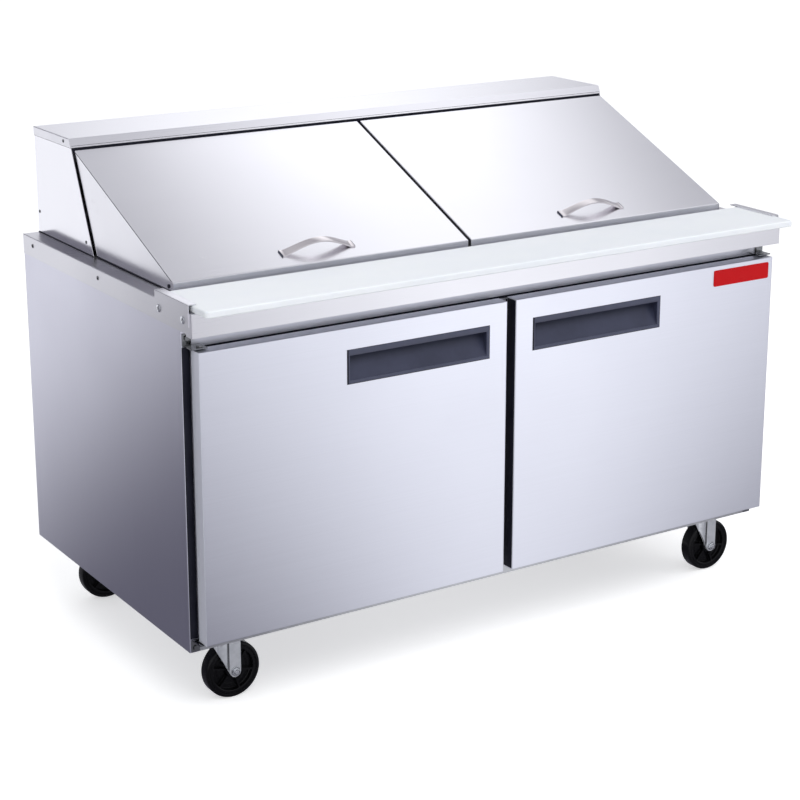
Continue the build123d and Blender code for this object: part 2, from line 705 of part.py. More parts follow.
def caster_fork():
    """Swivel fork and axle bolt with the kingpin on the Z axis."""
    inner, outer = FORK_INNER, FORK_INNER + FORK_SHEET
    axle_x = CASTER_TRAIL
    race = Pos(0, 0, 147.2) * Cylinder(31, 12.6)
    race = fillet(race.edges().sort_by(Axis.Z)[-1], 4)
    fork = race + block((-24, 44), (-outer, outer), (137, 141))
    for side in (-1, 1):
        y = (side * inner, side * outer)
        cheek = [(-24, 141), (44, 141), (43, 63), (36, 51), (24, 51), (17, 60)]
        fork += along_y(cheek, y)
        fork += rod((axle_x, side * (outer - 1), WHEEL_RADIUS), (0, side, 0), 11, 2.5)
    fork -= rod((0, 0, 130), (0, 0, 1), 6 + RUNNING_GAP, 40)
    fork -= rod((axle_x, -40, WHEEL_RADIUS), (0, 1, 0), AXLE_RADIUS, 80)
    reach = outer + 1.5
    axle = rod((axle_x, -reach, WHEEL_RADIUS), (0, 1, 0), AXLE_RADIUS, 2 * reach)
    axle += hex_head((axle_x, -reach, WHEEL_RADIUS), (0, -1, 0), 17, 6)
    axle += hex_head((axle_x, reach, WHEEL_RADIUS), (0, 1, 0), 17, 8)
    return group(fork, axle)


def caster_wheel():
    """Wheel with a hub, a ribbed web and a rounded tread, its axle along Y through the origin."""
    half = WHEEL_HALF_WIDTH
    tread = Rot(90, 0, 0) * Cylinder(WHEEL_RADIUS, 2 * half)
    tread = fillet(tread.edges().filter_by(GeomType.CIRCLE), 5)
    wheel = tread
    for side in (-1, 1):
        wheel -= rod((0, side * 4, 0), (0, side, 0), 47, half)
    wheel += rod((0, -18, 0), (0, 1, 0), 16, 36)
    for i in range(6):
        rib = Rot(0, 60 * i + 15, 0) * block((14, 48), (-13, 13), (-3, 3))
        wheel += rib
    return wheel - rod((0, -30, 0), (0, 1, 0), AXLE_RADIUS + RUNNING_GAP, 60)


# Refrigeration


def finned_coil(x, y, z, fins, tubes):
    """A coil of parallel tubes through a row of fins, with a plate at each end."""
    coil = None
    for i in range(fins + 1):
        at = x[0] + (x[1] - x[0] - 1.5) * i / fins
        grow = 3 if i in (0, fins) else 0
        fin = block((at, at + 1.5), (y[0] - grow, y[1] + grow), (z[0] - grow, z[1] + grow))
        coil = fin if coil is None else coil + fin
    middle = (y[0] + y[1]) / 2
    for i in range(tubes):
        height = z[0] + (z[1] - z[0]) * (i + 0.5) / tubes
        coil += rod((x[0] - 6, middle, height), (1, 0, 0), 5, x[1] - x[0] + 12)
    return coil


def condenser_coil():
    return finned_coil((-590, -250), (393, 430), (196, 494), 28, 7)


def evaporator_coil():
    return finned_coil((-420, 420), (268, 336), (610, 712), 40, 3)


def fan_shroud():
    """Plate with a ring around the condenser fan, and the motor on its bracket."""
    x, y, z = CONDENSER_FAN
    plate = block((x - 172, x + 172), (388.5, 390), (194, 496))
    ring = rod((x, 350, z), (0, 1, 0), CONDENSER_FAN_RADIUS + 10, 40)
    shroud = plate + ring - rod((x, 340, z), (0, 1, 0), CONDENSER_FAN_RADIUS + 8.5, 60)
    motor = rod((x, 280, z), (0, 1, 0), 36, 56)
    motor = fillet(motor.edges().filter_by(GeomType.CIRCLE), 5)
    motor += rod((x, 330, z), (0, 1, 0), SHAFT_RADIUS, 48)
    motor += block((x - 12, x + 12), (290, 322), (CASE_BOTTOM + 1.6, z - 30))
    return group(shroud, motor)


def fan(at, radius, hub_radius, blades, depth):
    """A fan with pitched blades on a bored hub, its axis along Y."""
    rotor = rod((0, -depth / 2, 0), (0, 1, 0), hub_radius, depth)
    for i in range(blades):
        blade = block((hub_radius - 3, radius), (-1, 1), (-radius * 0.24, radius * 0.24))
        blade = fillet(blade.edges().filter_by(Axis.Y).group_by(Axis.X)[-1], radius * 0.16)
        rotor += Rot(0, 360 * i / blades, 0) * Rot(28, 0, 0) * blade
    rotor -= rod((0, -depth, 0), (0, 1, 0), SHAFT_RADIUS + RUNNING_GAP, 2 * depth)
    return Pos(*at) * rotor


def compressor():
    """Hermetic compressor: hollow shell, pump inside it, foot plate and terminal cover."""
    x, y = COMPRESSOR_AT
    low = CASE_BOTTOM + 14
    shell = Pos(x, y, low + 95) * Cylinder(80, 190)
    shell = fillet(shell.edges().filter_by(GeomType.CIRCLE), 42)
    inside = Pos(x, y, low + 95) * Cylinder(76, 182)
    shell -= fillet(inside.edges().filter_by(GeomType.CIRCLE), 38)
    pump = Pos(x, y, low + 90) * Cylinder(48, 110)
    feet = block((x - 105, x + 105), (y - 62, y + 62), (low - 3, low))
    feet = fillet(feet.edges().filter_by(Axis.Z), 12)
    cover = block((x + 81, x + 106), (y - 30, y + 30), (low + 60, low + 125))
    mounts = []
    for side_x in (-90, 90):
        for side_y in (-48, 48):
            mounts.append(rod((x + side_x, y + side_y, CASE_BOTTOM + 1.6), (0, 0, 1), 9, low - 4.6 - CASE_BOTTOM))
    return group(shell, pump, feet, cover, *mounts)


def tube(points, bend):
    """A round tube along straight runs with bends of one radius."""
    path = FilletPolyline(*points, radius=bend)
    start = Vector(*points[1]) - Vector(*points[0])
    section = Plane(origin=points[0], z_dir=start) * Circle(LINE_RADIUS)
    return sweep(section, path)


def refrigerant_lines():
    """Discharge, liquid and suction lines, and the filter drier in the liquid line."""
    cx, cy = COMPRESSOR_AT
    top = CASE_BOTTOM + 14 + 190
    (liquid_x, riser_y), (suction_x, _) = LINE_RISERS
    discharge = tube([(cx - 30, cy, top), (cx - 30, cy, 420), (-230, cy, 420), (-230, 411, 420)], 22)
    liquid = tube(
        [(-230, 411, 240), (-150, 411, 240), (-150, 411, 520), (liquid_x, 411, 520), (liquid_x, riser_y, 520)]
        + [(liquid_x, riser_y, 625)],
        18,
    )
    suction = tube([(cx + 30, cy, top), (cx + 30, cy, 460), (suction_x, cy, 460), (suction_x, riser_y, 460)]
                   + [(suction_x, riser_y, 625)], 15)
    drier = rod((20, 411, 520), (1, 0, 0), 14, 110) - rod((0, 411, 520), (1, 0, 0), LINE_RADIUS, 160)
    return group(discharge, liquid, suction, drier)


def evaporator_cover():
    """Cover over the evaporator with a round outlet, and the fan motor on a cross strap."""
    x, y, z = EVAPORATOR_FAN
    cover = block((-470, 470), (196, 262), (604, 724)) - block((-468.8, 468.8), (197.2, 262), (602, 722.8))
    cover -= rod((x, 190, z), (0, 1, 0), EVAPORATOR_FAN_RADIUS + 4, 10)
    motor = rod((x, 244, z), (0, 1, 0), 18, 18)
    motor += rod((x, 224, z), (0, 1, 0), SHAFT_RADIUS, 24)
    motor += block((x - 60, x + 60), (259, 262), (z - 6, z + 6))
    return group(cover, motor)


def controller():
    """Electronic thermostat set in the back panel."""
    body = block((501, 577), (390, REAR_Y - 1.4), (601, 631))
    face = block((500.5, 577.5), (REAR_Y - 1.4, REAR_Y - 0.2), (600.5, 631.5))
    return body + face


def power_inlet():
    """Flush power inlet in the back panel."""
    inlet = block((640.5, 689.5), (415, REAR_Y - 0.2), (598.5, 633.5))
    inlet -= block((647, 683), (425, REAR_Y), (604, 628))
    for x, z in ((654, 612), (676, 612), (665, 620)):
        inlet += block((x - 2, x + 2), (420, 440), (z - 3, z + 3))
    return inlet


def drain_pan():
    """Open tray that catches condensate."""
    x, y, z = (380, 660), (245, 425), (CASE_BOTTOM + 1.7, CASE_BOTTOM + 45)
    tray = block(x, y, z)
    return tray - block((x[0] + SHEET, x[1] - SHEET), (y[0] + SHEET, y[1] - SHEET), (z[0] + SHEET, z[1]))


def build():
    """Every node of the table, by name."""
    nodes = {
        "base_pan": base_pan(),
        "back_panel": back_panel(),
        "rear_grille": rear_grille(),
        "face_frame": face_frame(),
        "countertop": countertop(),
        "insulation": insulation(),
        "liner": liner(),
        "shelf_supports": shelf_supports(),
        "wire_shelves": group(wire_shelf(-1), wire_shelf(1)),
        "food_pans": food_pans(),
        "pan_bars": pan_bars(),
        "hood_top": hood_top(),
        "hood_sides": hood_sides(),
        "hood_back": hood_back(),
        "hood_lining": hood_lining(),
        "lid_hinges": lid_hinges(),
        "cutting_board": cutting_board(),
        "board_brackets": board_brackets(),
        "case_screws": group(*case_screws()),
        "door_hinges": door_hinges(),
        "name_plate": name_plate(),
        "caster_plates": caster_plates(),
        "compressor": compressor(),
        "condenser_coil": condenser_coil(),
        "fan_shroud": fan_shroud(),
        "condenser_fan": fan(CONDENSER_FAN, CONDENSER_FAN_RADIUS, 24, 5, 22),
        "evaporator_coil": evaporator_coil(),
        "evaporator_cover": evaporator_cover(),
        "evaporator_fan": fan(EVAPORATOR_FAN, EVAPORATOR_FAN_RADIUS, 13, 5, 14),
        "refrigerant_lines": refrigerant_lines(),
        "controller": controller(),
        "power_inlet": power_inlet(),
        "drain_pan": drain_pan(),
    }
    fork, wheel = caster_fork(), caster_wheel()
    for word, side in (("left", -1), ("right", 1)):
        nodes[f"side_panel_{word}"] = side_panel(side)
        nodes[f"lid_skin_{word}"] = lid_skin(side)
        nodes[f"lid_liner_{word}"] = lid_liner(side)
        nodes[f"lid_handle_{word}"] = lid_handle(side)
        nodes[f"door_skin_{word}"] = door_skin(side)
        nodes[f"door_foam_{word}"] = door_foam(side)
        nodes[f"door_liner_{word}"] = door_liner(side)
        nodes[f"door_gasket_{word}"] = door_gasket(side)
        nodes[f"door_handle_{word}"] = door_handle(side)
        for end, y in CASTER_YS.items():
            x = side * CASTER_X
            nodes[f"caster_fork_{end}_{word}"] = Pos(x, y, 0) * fork
            nodes[f"caster_wheel_{end}_{word}"] = Pos(x + CASTER_TRAIL, y, WHEEL_RADIUS) * wheel
    return nodes


os.makedirs("parts", exist_ok=True)
for name, shape in build().items():
    export_step(shape, f"parts/{name}.step")
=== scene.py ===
import json
import math

import bmesh
import bpy
from mathutils import Matrix, Vector


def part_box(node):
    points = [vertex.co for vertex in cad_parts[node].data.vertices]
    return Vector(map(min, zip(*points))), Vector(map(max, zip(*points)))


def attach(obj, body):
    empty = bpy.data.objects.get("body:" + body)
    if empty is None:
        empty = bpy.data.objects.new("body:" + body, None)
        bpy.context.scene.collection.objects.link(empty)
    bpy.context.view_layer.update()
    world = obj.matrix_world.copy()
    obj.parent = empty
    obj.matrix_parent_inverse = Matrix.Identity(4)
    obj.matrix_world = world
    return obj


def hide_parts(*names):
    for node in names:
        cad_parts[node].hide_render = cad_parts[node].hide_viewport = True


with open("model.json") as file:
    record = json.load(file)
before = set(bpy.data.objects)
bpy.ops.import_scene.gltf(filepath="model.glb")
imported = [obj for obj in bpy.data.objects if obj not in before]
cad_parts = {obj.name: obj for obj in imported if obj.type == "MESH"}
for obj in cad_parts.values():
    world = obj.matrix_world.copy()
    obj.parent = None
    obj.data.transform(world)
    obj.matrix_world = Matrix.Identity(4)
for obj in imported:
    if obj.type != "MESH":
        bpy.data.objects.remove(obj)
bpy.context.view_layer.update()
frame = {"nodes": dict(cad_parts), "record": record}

# The prep table's looks: a studio, procedural materials, and pieces that stand for or add to the CAD nodes.
# Lengths are in metres in the studio and the materials, and in millimetres wherever shapes are drawn.

MM = 0.001
SIDES = (("left", -1), ("right", 1))
ENDS = ("front", "rear")


# ------------ camera, floor and light

CAMERA_AT = (-2.416, -3.7235, 1.885)
CAMERA_AZIMUTH = 32.62
CAMERA_TILT = 15.7
CAMERA_LENS = 89.2
CAMERA_SHIFT = -0.08


def make_camera():
    data = bpy.data.cameras.new("camera")
    data.sensor_width = 36
    data.lens = CAMERA_LENS
    data.shift_y = CAMERA_SHIFT
    data.clip_end = 100
    camera = bpy.data.objects.new("camera", data)
    bpy.context.scene.collection.objects.link(camera)
    camera.location = CAMERA_AT
    camera.rotation_euler = (math.radians(90 - CAMERA_TILT), 0, math.radians(-CAMERA_AZIMUTH))
    bpy.context.scene.camera = camera


class Graph:
    """The nodes of a material or a world. Each call adds a node, and links or sets its inputs by name."""

    def __init__(self, owner):
        owner.use_nodes = True
        self.owner = owner
        self.tree = owner.node_tree
        self.tree.nodes.clear()

    def add(self, kind, settings=None, **inputs):
        node = self.tree.nodes.new("ShaderNode" + kind)
        for key, value in (settings or {}).items():
            setattr(node, key, value)
        for key, value in inputs.items():
            socket = self.socket(node, key)
            if isinstance(value, bpy.types.NodeSocket):
                self.tree.links.new(value, socket)
            else:
                socket.default_value = value
        return node

    @staticmethod
    def socket(node, key):
        if key.startswith("in") and key[2:].isdigit():
            return node.inputs[int(key[2:])]
        return node.inputs[key.replace("_", " ")]

    def math(self, operation, a, b=0.0, c=0.0):
        return self.add("Math", {"operation": operation}, in0=a, in1=b, in2=c).outputs[0]

    def times(self, a, b, plus=None):
        """a * b, or a * b + plus."""
        if plus is None:
            return self.math("MULTIPLY", a, b)
        return self.math("MULTIPLY_ADD", a, b, plus)

    def between(self, value, low, high, out_low=0.0, out_high=1.0, smooth=False):
        settings = {"interpolation_type": "SMOOTHSTEP" if smooth else "LINEAR"}
        node = self.add("MapRange", settings, in0=value, in1=low, in2=high, in3=out_low, in4=out_high)
        return node.outputs[0]

    def mix(self, factor, a, b):
        node = self.add("Mix", {"data_type": "RGBA"}, in0=factor, in6=a, in7=b)
        return node.outputs[2]

    def noise(self, vector, scale, detail=2.0, rough=0.5):
        node = self.add("TexNoise", Vector=vector, Scale=scale, Detail=detail, Roughness=rough)
        return node.outputs[0]

    def scaled(self, vector, scale, turn=(0, 0, 0)):
        node = self.add("Mapping", Vector=vector, Scale=scale, Rotation=turn)
        return node.outputs[0]


def grey(value, tint=(1, 1, 1)):
    return (value * tint[0], value * tint[1], value * tint[2], 1.0)


STUDIO_DARK = (0.078, 0.074, 0.108, 1)
STUDIO_BRIGHT = (1.585, 1.60, 1.65, 1)
STUDIO_LEVELS = (0.08, 1.6)
WORLD_LEVELS = (0.82, 0.09)
WORLD_FILL = (0.60, 0.61, 0.63, 1)
FLOOR_HALF = 40.0
FLOOR_GLOW = 0.52
CARD_HEIGHT = 2.6
CARD_REACH = 3.0


def studio_colour(g, level):
    """The studio's colour at a brightness: white where it is bright, lavender grey where it is dark."""
    return g.mix(g.between(level, *STUDIO_LEVELS), STUDIO_DARK, STUDIO_BRIGHT)


def make_world():
    """What is behind the reflected cards: dark behind the left side, pale elsewhere."""
    world = bpy.data.worlds.new("studio")
    bpy.context.scene.world = world
    g = Graph(world)
    way = g.add("TexCoord").outputs["Generated"]
    x, y, z = g.add("SeparateXYZ", Vector=way).outputs
    to_left = g.between(x, 0.2, -0.2, smooth=True)
    to_rear = g.between(y, 0.0, 0.3, smooth=True)
    low = g.between(z, 0.85, 0.45, smooth=True)
    dark = g.times(g.times(to_left, to_rear), low)
    level = g.between(dark, 0.0, 1.0, *WORLD_LEVELS)
    seen = g.add("LightPath").outputs
    glossy = g.add("Background", Color=studio_colour(g, level))
    diffuse = g.add("Background", Color=WORLD_FILL)
    camera = g.add("Background", Color=grey(1.0))
    shade = g.add("MixShader", in0=seen["Is Glossy Ray"], in1=diffuse.outputs[0], in2=glossy.outputs[0])
    shade = g.add("MixShader", in0=seen["Is Camera Ray"], in1=shade.outputs[0], in2=camera.outputs[0])
    g.add("OutputWorld", Surface=shade.outputs[0])


def flat_mesh(name, low, high):
    """A rectangle between two corners, square to Y or to Z."""
    (x0, y0, z0), (x1, y1, z1) = low, high
    corners = [(x0, y0, z0), (x1, y0, z0), (x1, y1, z1), (x0, y1, z1)]
    mesh = bpy.data.meshes.new(name)
    mesh.from_pydata(corners, [], [(0, 1, 2, 3)])
    made = bpy.data.objects.new(name, mesh)
    bpy.context.scene.collection.objects.link(made)
    return made


def front_floor_level(g, x, y):
    """A pool of light on the floor ahead, that widens and drifts to the right with distance."""
    ahead = g.math("ABSOLUTE", y)
    middle = g.times(ahead, 0.68, -0.28)
    off = g.math("SUBTRACT", x, middle)
    left = g.math("LESS_THAN", off, 0.0)
    falloff = g.times(left, 1.25, 1.25)
    spread = g.math("DIVIDE", g.times(off, off), g.math("MAXIMUM", ahead, 0.3))
    pool = g.math("EXPONENT", g.times(g.times(spread, falloff), -1.0))
    peak = g.between(ahead, 0.3, 3.0, 0.74, 1.46)
    far_left = g.between(x, -0.7, -1.7, 0.0, 0.42, smooth=True)
    far_ahead = g.between(ahead, 3.2, 7.0, 0.0, 0.5, smooth=True)
    base = g.math("ADD", 0.22, g.math("MAXIMUM", far_left, far_ahead))
    share = g.times(g.math("SUBTRACT", 1.0, base), pool, base)
    return g.times(share, peak)


def side_floor_level(g, x, y):
    """The floor beside the cabinet: in the shade close by, and light towards the rear."""
    out = g.math("ABSOLUTE", x)
    back = g.times(out, -1.175, y)
    shade = g.between(back, -0.8, 0.8, 0.12, 0.97, smooth=True)
    lift = g.between(back, 0.6, 1.6, 0.0, 0.08, smooth=True)
    right = g.between(x, 0.3, 1.2, 0.0, 0.3, smooth=True)
    return g.math("ADD", g.math("MAXIMUM", shade, right), lift)


def make_floor():
    """Plain pale floor. Reflections see it lit unevenly, as a studio floor is."""
    floor = flat_mesh("floor", (-FLOOR_HALF, -FLOOR_HALF, 0), (FLOOR_HALF, FLOOR_HALF, 0))
    g, place = new_material("floor")
    x, y, z = g.add("SeparateXYZ", Vector=place).outputs
    behind = g.between(y, -0.45, -0.1, smooth=True)
    front = g.times(front_floor_level(g, x, y), g.math("SUBTRACT", 1.0, behind))
    level = g.times(side_floor_level(g, x, y), behind, front)
    lit = g.add("Emission", Color=studio_colour(g, level))
    speck = g.noise(place, 60.0, 3.0)
    pale = g.mix(g.between(speck, 0.3, 0.7), grey(0.90), grey(0.93))
    matt = g.add("BsdfDiffuse", Color=pale)
    white = g.add("Emission", Color=grey(FLOOR_GLOW))
    bright = g.add("AddShader", in0=matt.outputs[0], in1=white.outputs[0])
    seen = g.add("LightPath").outputs
    shade = g.add("MixShader", in0=seen["Is Camera Ray"], in1=matt.outputs[0], in2=bright.outputs[0])
    shade = g.add("MixShader", in0=seen["Is Glossy Ray"], in1=shade.outputs[0], in2=lit.outputs[0])
    g.add("OutputMaterial", Surface=shade.outputs[0])
    floor.data.materials.append(g.owner)


def make_card(name, low, high, level_of):
    """A glowing sheet that only reflections see. level_of gives its brightness at a place."""
    card = flat_mesh(name, low, high)
    g, place = new_material(name)
    x, y, z = g.add("SeparateXYZ", Vector=place).outputs
    lit = g.add("Emission", Color=studio_colour(g, level_of(g, x, y, z)))
    g.add("OutputMaterial", Surface=lit.outputs[0])
    card.data.materials.append(g.owner)
    for ray in ("camera", "diffuse", "transmission", "volume_scatter", "shadow"):
        setattr(card, f"visible_{ray}", False)


def pool_level(g, peak, along, middle, falloff, least):
    """peak * (1 - falloff * (along - middle)^2), and never under least."""
    off = g.math("SUBTRACT", along, middle)
    drop = g.times(g.times(off, off), falloff)
    return g.math("MAXIMUM", g.times(g.math("SUBTRACT", 1.0, drop), peak), least)


def overhead_level(g, x, y, z):
    """Brightest over the right rear, and pale again at the far left."""
    peak = g.between(y, 0.6, 1.3, 1.13, 1.45)
    peak = g.math("ADD", peak, g.between(y, -0.3, -1.4, 0.0, 0.16))
    middle = g.times(y, -0.17, 1.35)
    return pool_level(g, peak, x, middle, 0.56, g.between(x, -2.2, 0.2, 0.85, 0.48))


def rear_level(g, x, y, z):
    """Brightest at the upper right."""
    lower = g.between(z, 1.0, 1.7, 0.66, 1.0, smooth=True)
    return g.times(pool_level(g, 1.18, x, 1.5, 0.24, 0.5), lower)


def make_cards():
    low, high = (-CARD_REACH, -CARD_REACH, CARD_HEIGHT), (4.5, CARD_REACH, CARD_HEIGHT)
    make_card("overhead_card", low, high, overhead_level)
    low, high = (0.1, CARD_REACH, 0.0), (5.5, CARD_REACH, CARD_HEIGHT)
    make_card("rear_card", low, high, rear_level)


def area_light(name, at, aim, size, power):
    """A soft lamp that lights surfaces but doesn't show in reflections."""
    data = bpy.data.lights.new(name, "AREA")
    data.shape = "RECTANGLE"
    data.size, data.size_y = size
    data.energy = power
    light = bpy.data.objects.new(name, data)
    bpy.context.scene.collection.objects.link(light)
    light.location = at
    light.rotation_mode = "QUATERNION"
    light.rotation_quaternion = (Vector(aim) - Vector(at)).to_track_quat("-Z", "Y")
    light.visible_glossy = False


def make_lights():
    area_light("key_light", (-1.2, -3.0, 4.0), (0, 0, 0.5), (3.0, 2.4), 70)
    area_light("fill_light", (3.4, -1.8, 3.0), (0, 0, 0.6), (2.4, 2.4), 40)


# ------------ materials

GRAINS = {"x": (1.4, 480, 480), "y": (480, 1.4, 480), "z": (480, 480, 1.4)}
STEEL_TINT = (0.985, 0.98, 1.02)
ZINC_TINT = (0.96, 0.985, 1.02)
GALVANIZED_TINT = (0.98, 1.0, 1.03)
# Grey of the shade painted into corners.
CORNER_SHADE_GREY = 0.03


def new_material(name):
    """A new material's graph, and the place on the object that its textures follow."""
    g = Graph(bpy.data.materials.new(name))
    return g, g.add("TexCoord").outputs["Object"]


def finished(g, colour, roughness, normal, **more):
    """Closes a graph with its shader and returns its material."""
    shader = g.add("BsdfPrincipled", Base_Color=colour, Roughness=roughness, Normal=normal, **more)
    g.add("OutputMaterial", Surface=shader.outputs[0])
    return g.owner


def round_edges(g, radius):
    """A normal that is rounded over sharp edges."""
    return g.add("Bevel", {"samples": 4}, Radius=radius).outputs[0]


def edge_wear_and_highlight(g, rounded, full):
    """0 on flat faces, rising to 1 where the rounded normal has turned by the angle whose cosine is full."""
    face = g.add("NewGeometry").outputs["Normal"]
    turn = g.add("VectorMath", {"operation": "DOT_PRODUCT"}, in0=rounded, in1=face).outputs["Value"]
    return g.between(turn, 0.995, full)


def bump(g, height, strength, distance, **normal):
    return g.add("Bump", Strength=strength, Distance=distance, Height=height, **normal).outputs[0]


def brushed_steel(name, tone, grain, rough, tint=STEEL_TINT, depth=0.3, metallic=1.0, ends=1.0):
    """Brushed sheet: fine streaks along the grain, broad soft bands, faint smudges, and softened edges
    painted paler, partly as wear and partly as a painted highlight.

    ends is how metallic the faces square to X are, where a sheet's grain ends on a fold."""
    g, place = new_material(name)
    fine = g.noise(g.scaled(place, GRAINS[grain]), 3.2, 3.0, 0.7)
    broad = g.noise(g.scaled(place, tuple(s / 12 for s in GRAINS[grain])), 1.0, 2.0)
    smudge = g.noise(place, 3.5, 3.0, 0.55)
    scuff = g.between(g.noise(place, 17.0, 4.0, 0.7), 0.62, 0.8)
    low = grey(tone * 0.975, tint)
    high = grey(min(tone * 1.02, 1.0), tint)
    streak = g.times(fine, 0.93, g.times(broad, 0.07))
    colour = g.mix(g.between(streak, 0.3, 0.7), low, high)
    rounded = round_edges(g, 0.0008)
    # Paler edges: partly wear, partly a painted highlight along them.
    wear_and_highlight = edge_wear_and_highlight(g, rounded, 0.9)
    colour = g.mix(g.times(wear_and_highlight, 0.35), colour, grey(min(tone * 1.15, 1.0), tint))
    roughness = g.times(fine, 0.16, rough - 0.08)
    roughness = g.times(smudge, 0.10, roughness)
    roughness = g.times(scuff, 0.05, roughness)
    normal = bump(g, streak, depth, 0.00012, Normal=rounded)
    if ends < 1:
        face = g.add("NewGeometry").outputs["Normal"]
        facing = g.math("ABSOLUTE", g.add("SeparateXYZ", Vector=face).outputs[0])
        metallic = g.between(facing, 0.7, 0.9, metallic, ends)
    return finished(g, colour, roughness, normal, Metallic=metallic)


def bright_zinc(name, tone=0.97, rough=0.3, metallic=0.55, crystals=0.08, crevice_shade=0.0):
    """Plated metal with small crystals, a little dulled. Its last setting is how dark its corners and grooves
    are painted: painted shade where ambient occlusion finds them.
    """
    g, place = new_material(name)
    cells = g.add("TexVoronoi", Vector=place, Scale=420.0)
    cloud = g.noise(place, 45.0, 4.0, 0.6)
    colour = g.mix(g.between(cloud, 0.35, 0.7), grey(tone * 0.84, ZINC_TINT), grey(tone, ZINC_TINT))
    # Painted shade: corners and grooves that ambient occlusion finds are darkened towards a near-black grey.
    if crevice_shade:
        open_air = g.add("AmbientOcclusion", {"samples": 8}, Distance=0.006).outputs["AO"]
        painted_shade = g.between(open_air, 0.35, 0.85, crevice_shade, 0.0)
        colour = g.mix(painted_shade, colour, grey(CORNER_SHADE_GREY))
    crystal = g.times(cells.outputs["Color"], crystals)
    roughness = g.times(cloud, 0.2, g.math("ADD", crystal, rough - 0.12))
    normal = bump(g, cloud, 0.25, 0.0001, Normal=round_edges(g, 0.0006))
    return finished(g, colour, roughness, normal, Metallic=metallic)


def satin_metal(name, tone, tint, rough):
    """Fine satin metal with a soft blasted grain."""
    g, place = new_material(name)
    grain = g.noise(g.scaled(place, (0.02, 1, 1)), 2600.0, 2.0)
    cloud = g.noise(place, 25.0, 3.0)
    colour = g.mix(g.between(cloud, 0.35, 0.65), grey(tone * 0.96, tint), grey(tone, tint))
    roughness = g.times(grain, 0.10, g.times(cloud, 0.06, rough - 0.08))
    normal = bump(g, grain, 0.08, 0.00004)
    return finished(g, colour, roughness, normal, Metallic=1.0)


def moulded_plastic(name, colour, rough, grain=900.0, depth=0.3, spread=0.10, gloss=0.5, rub=1.2):
    """Moulded plastic or rubber: fine spark texture, cloudy sheen, and edges painted slightly paler, partly
    as rubbing and partly as a painted highlight.
    """
    g, place = new_material(name)
    spark = g.noise(place, grain, 3.0, 0.6)
    cloud = g.noise(place, 14.0, 4.0, 0.6)
    rounded = round_edges(g, 0.0009)
    wear_and_highlight = edge_wear_and_highlight(g, rounded, 0.85)
    dark = tuple(c * (1 - spread) for c in colour) + (1.0,)
    pale = tuple(min(1.0, c * (1 + spread) + 0.004) for c in colour) + (1.0,)
    # Paler edges: partly rubbing, partly a painted highlight.
    rubbed_and_highlit = tuple(min(1.0, c * rub + 0.01) for c in colour) + (1.0,)
    mottled = g.mix(g.between(cloud, 0.35, 0.65), dark, pale)
    shade = g.mix(g.times(wear_and_highlight, 0.7), mottled, rubbed_and_highlit)
    roughness = g.times(spark, 0.14, g.times(cloud, 0.12, rough - 0.13))
    normal = bump(g, spark, depth, 0.00012, Normal=rounded)
    return finished(g, shade, roughness, normal, Specular_IOR_Level=gloss)


def cutting_plastic(name):
    """White food-grade board: faint haze, pinprick texture and a few shallow knife marks."""
    g, place = new_material(name)
    haze = g.noise(place, 6.0, 4.0, 0.55)
    prick = g.noise(place, 1300.0, 2.0)
    cuts = []
    for turn, stretch in ((0.5, (14, 620, 14)), (-0.8, (10, 540, 10)), (1.35, (12, 700, 12))):
        line = g.noise(g.scaled(place, stretch, (0, 0, turn)), 1.0, 1.0)
        cuts.append(g.between(line, 0.74, 0.79))
    marks = g.math("MAXIMUM", cuts[0], g.math("MAXIMUM", cuts[1], cuts[2]))
    colour = g.mix(g.between(haze, 0.3, 0.7), (0.83, 0.86, 0.90, 1), (0.88, 0.90, 0.925, 1))
    colour = g.mix(g.times(marks, 0.12), colour, (0.70, 0.73, 0.78, 1))
    roughness = g.times(haze, 0.14, g.times(prick, 0.08, 0.34))
    height = g.math("SUBTRACT", g.times(prick, 0.4), marks)
    normal = bump(g, height, 0.25, 0.0001)
    depth = {"Subsurface_Weight": 0.15, "Subsurface_Radius": (0.006, 0.006, 0.007), "Subsurface_Scale": 1.0}
    return finished(g, colour, roughness, normal, **depth)


def stucco_aluminium(name):
    """Embossed aluminium lining: shallow pebbles over a soft sheen."""
    g, place = new_material(name)
    pebble = g.add("TexVoronoi", {"feature": "SMOOTH_F1"}, Vector=place, Scale=130.0).outputs["Distance"]
    cloud = g.noise(place, 5.0, 3.0)
    colour = g.mix(g.between(cloud, 0.35, 0.65), grey(0.76), grey(0.84))
    roughness = g.times(cloud, 0.12, 0.30)
    normal = bump(g, pebble, 0.5, 0.0005)
    return finished(g, colour, roughness, normal, Metallic=0.9)


def galvanized(name):
    """Galvanized sheet with large pale spangle."""
    g, place = new_material(name)
    spangle = g.add("TexVoronoi", Vector=place, Scale=70.0).outputs["Color"]
    cloud = g.noise(place, 9.0, 4.0)
    shade = g.times(spangle, 0.5, g.times(cloud, 0.5))
    dull, bright = grey(0.55, GALVANIZED_TINT), grey(0.67, GALVANIZED_TINT)
    colour = g.mix(g.between(shade, 0.2, 0.8), dull, bright)
    roughness = g.times(shade, 0.25, 0.28)
    normal = bump(g, shade, 0.15, 0.0001)
    return finished(g, colour, roughness, normal, Metallic=1.0)


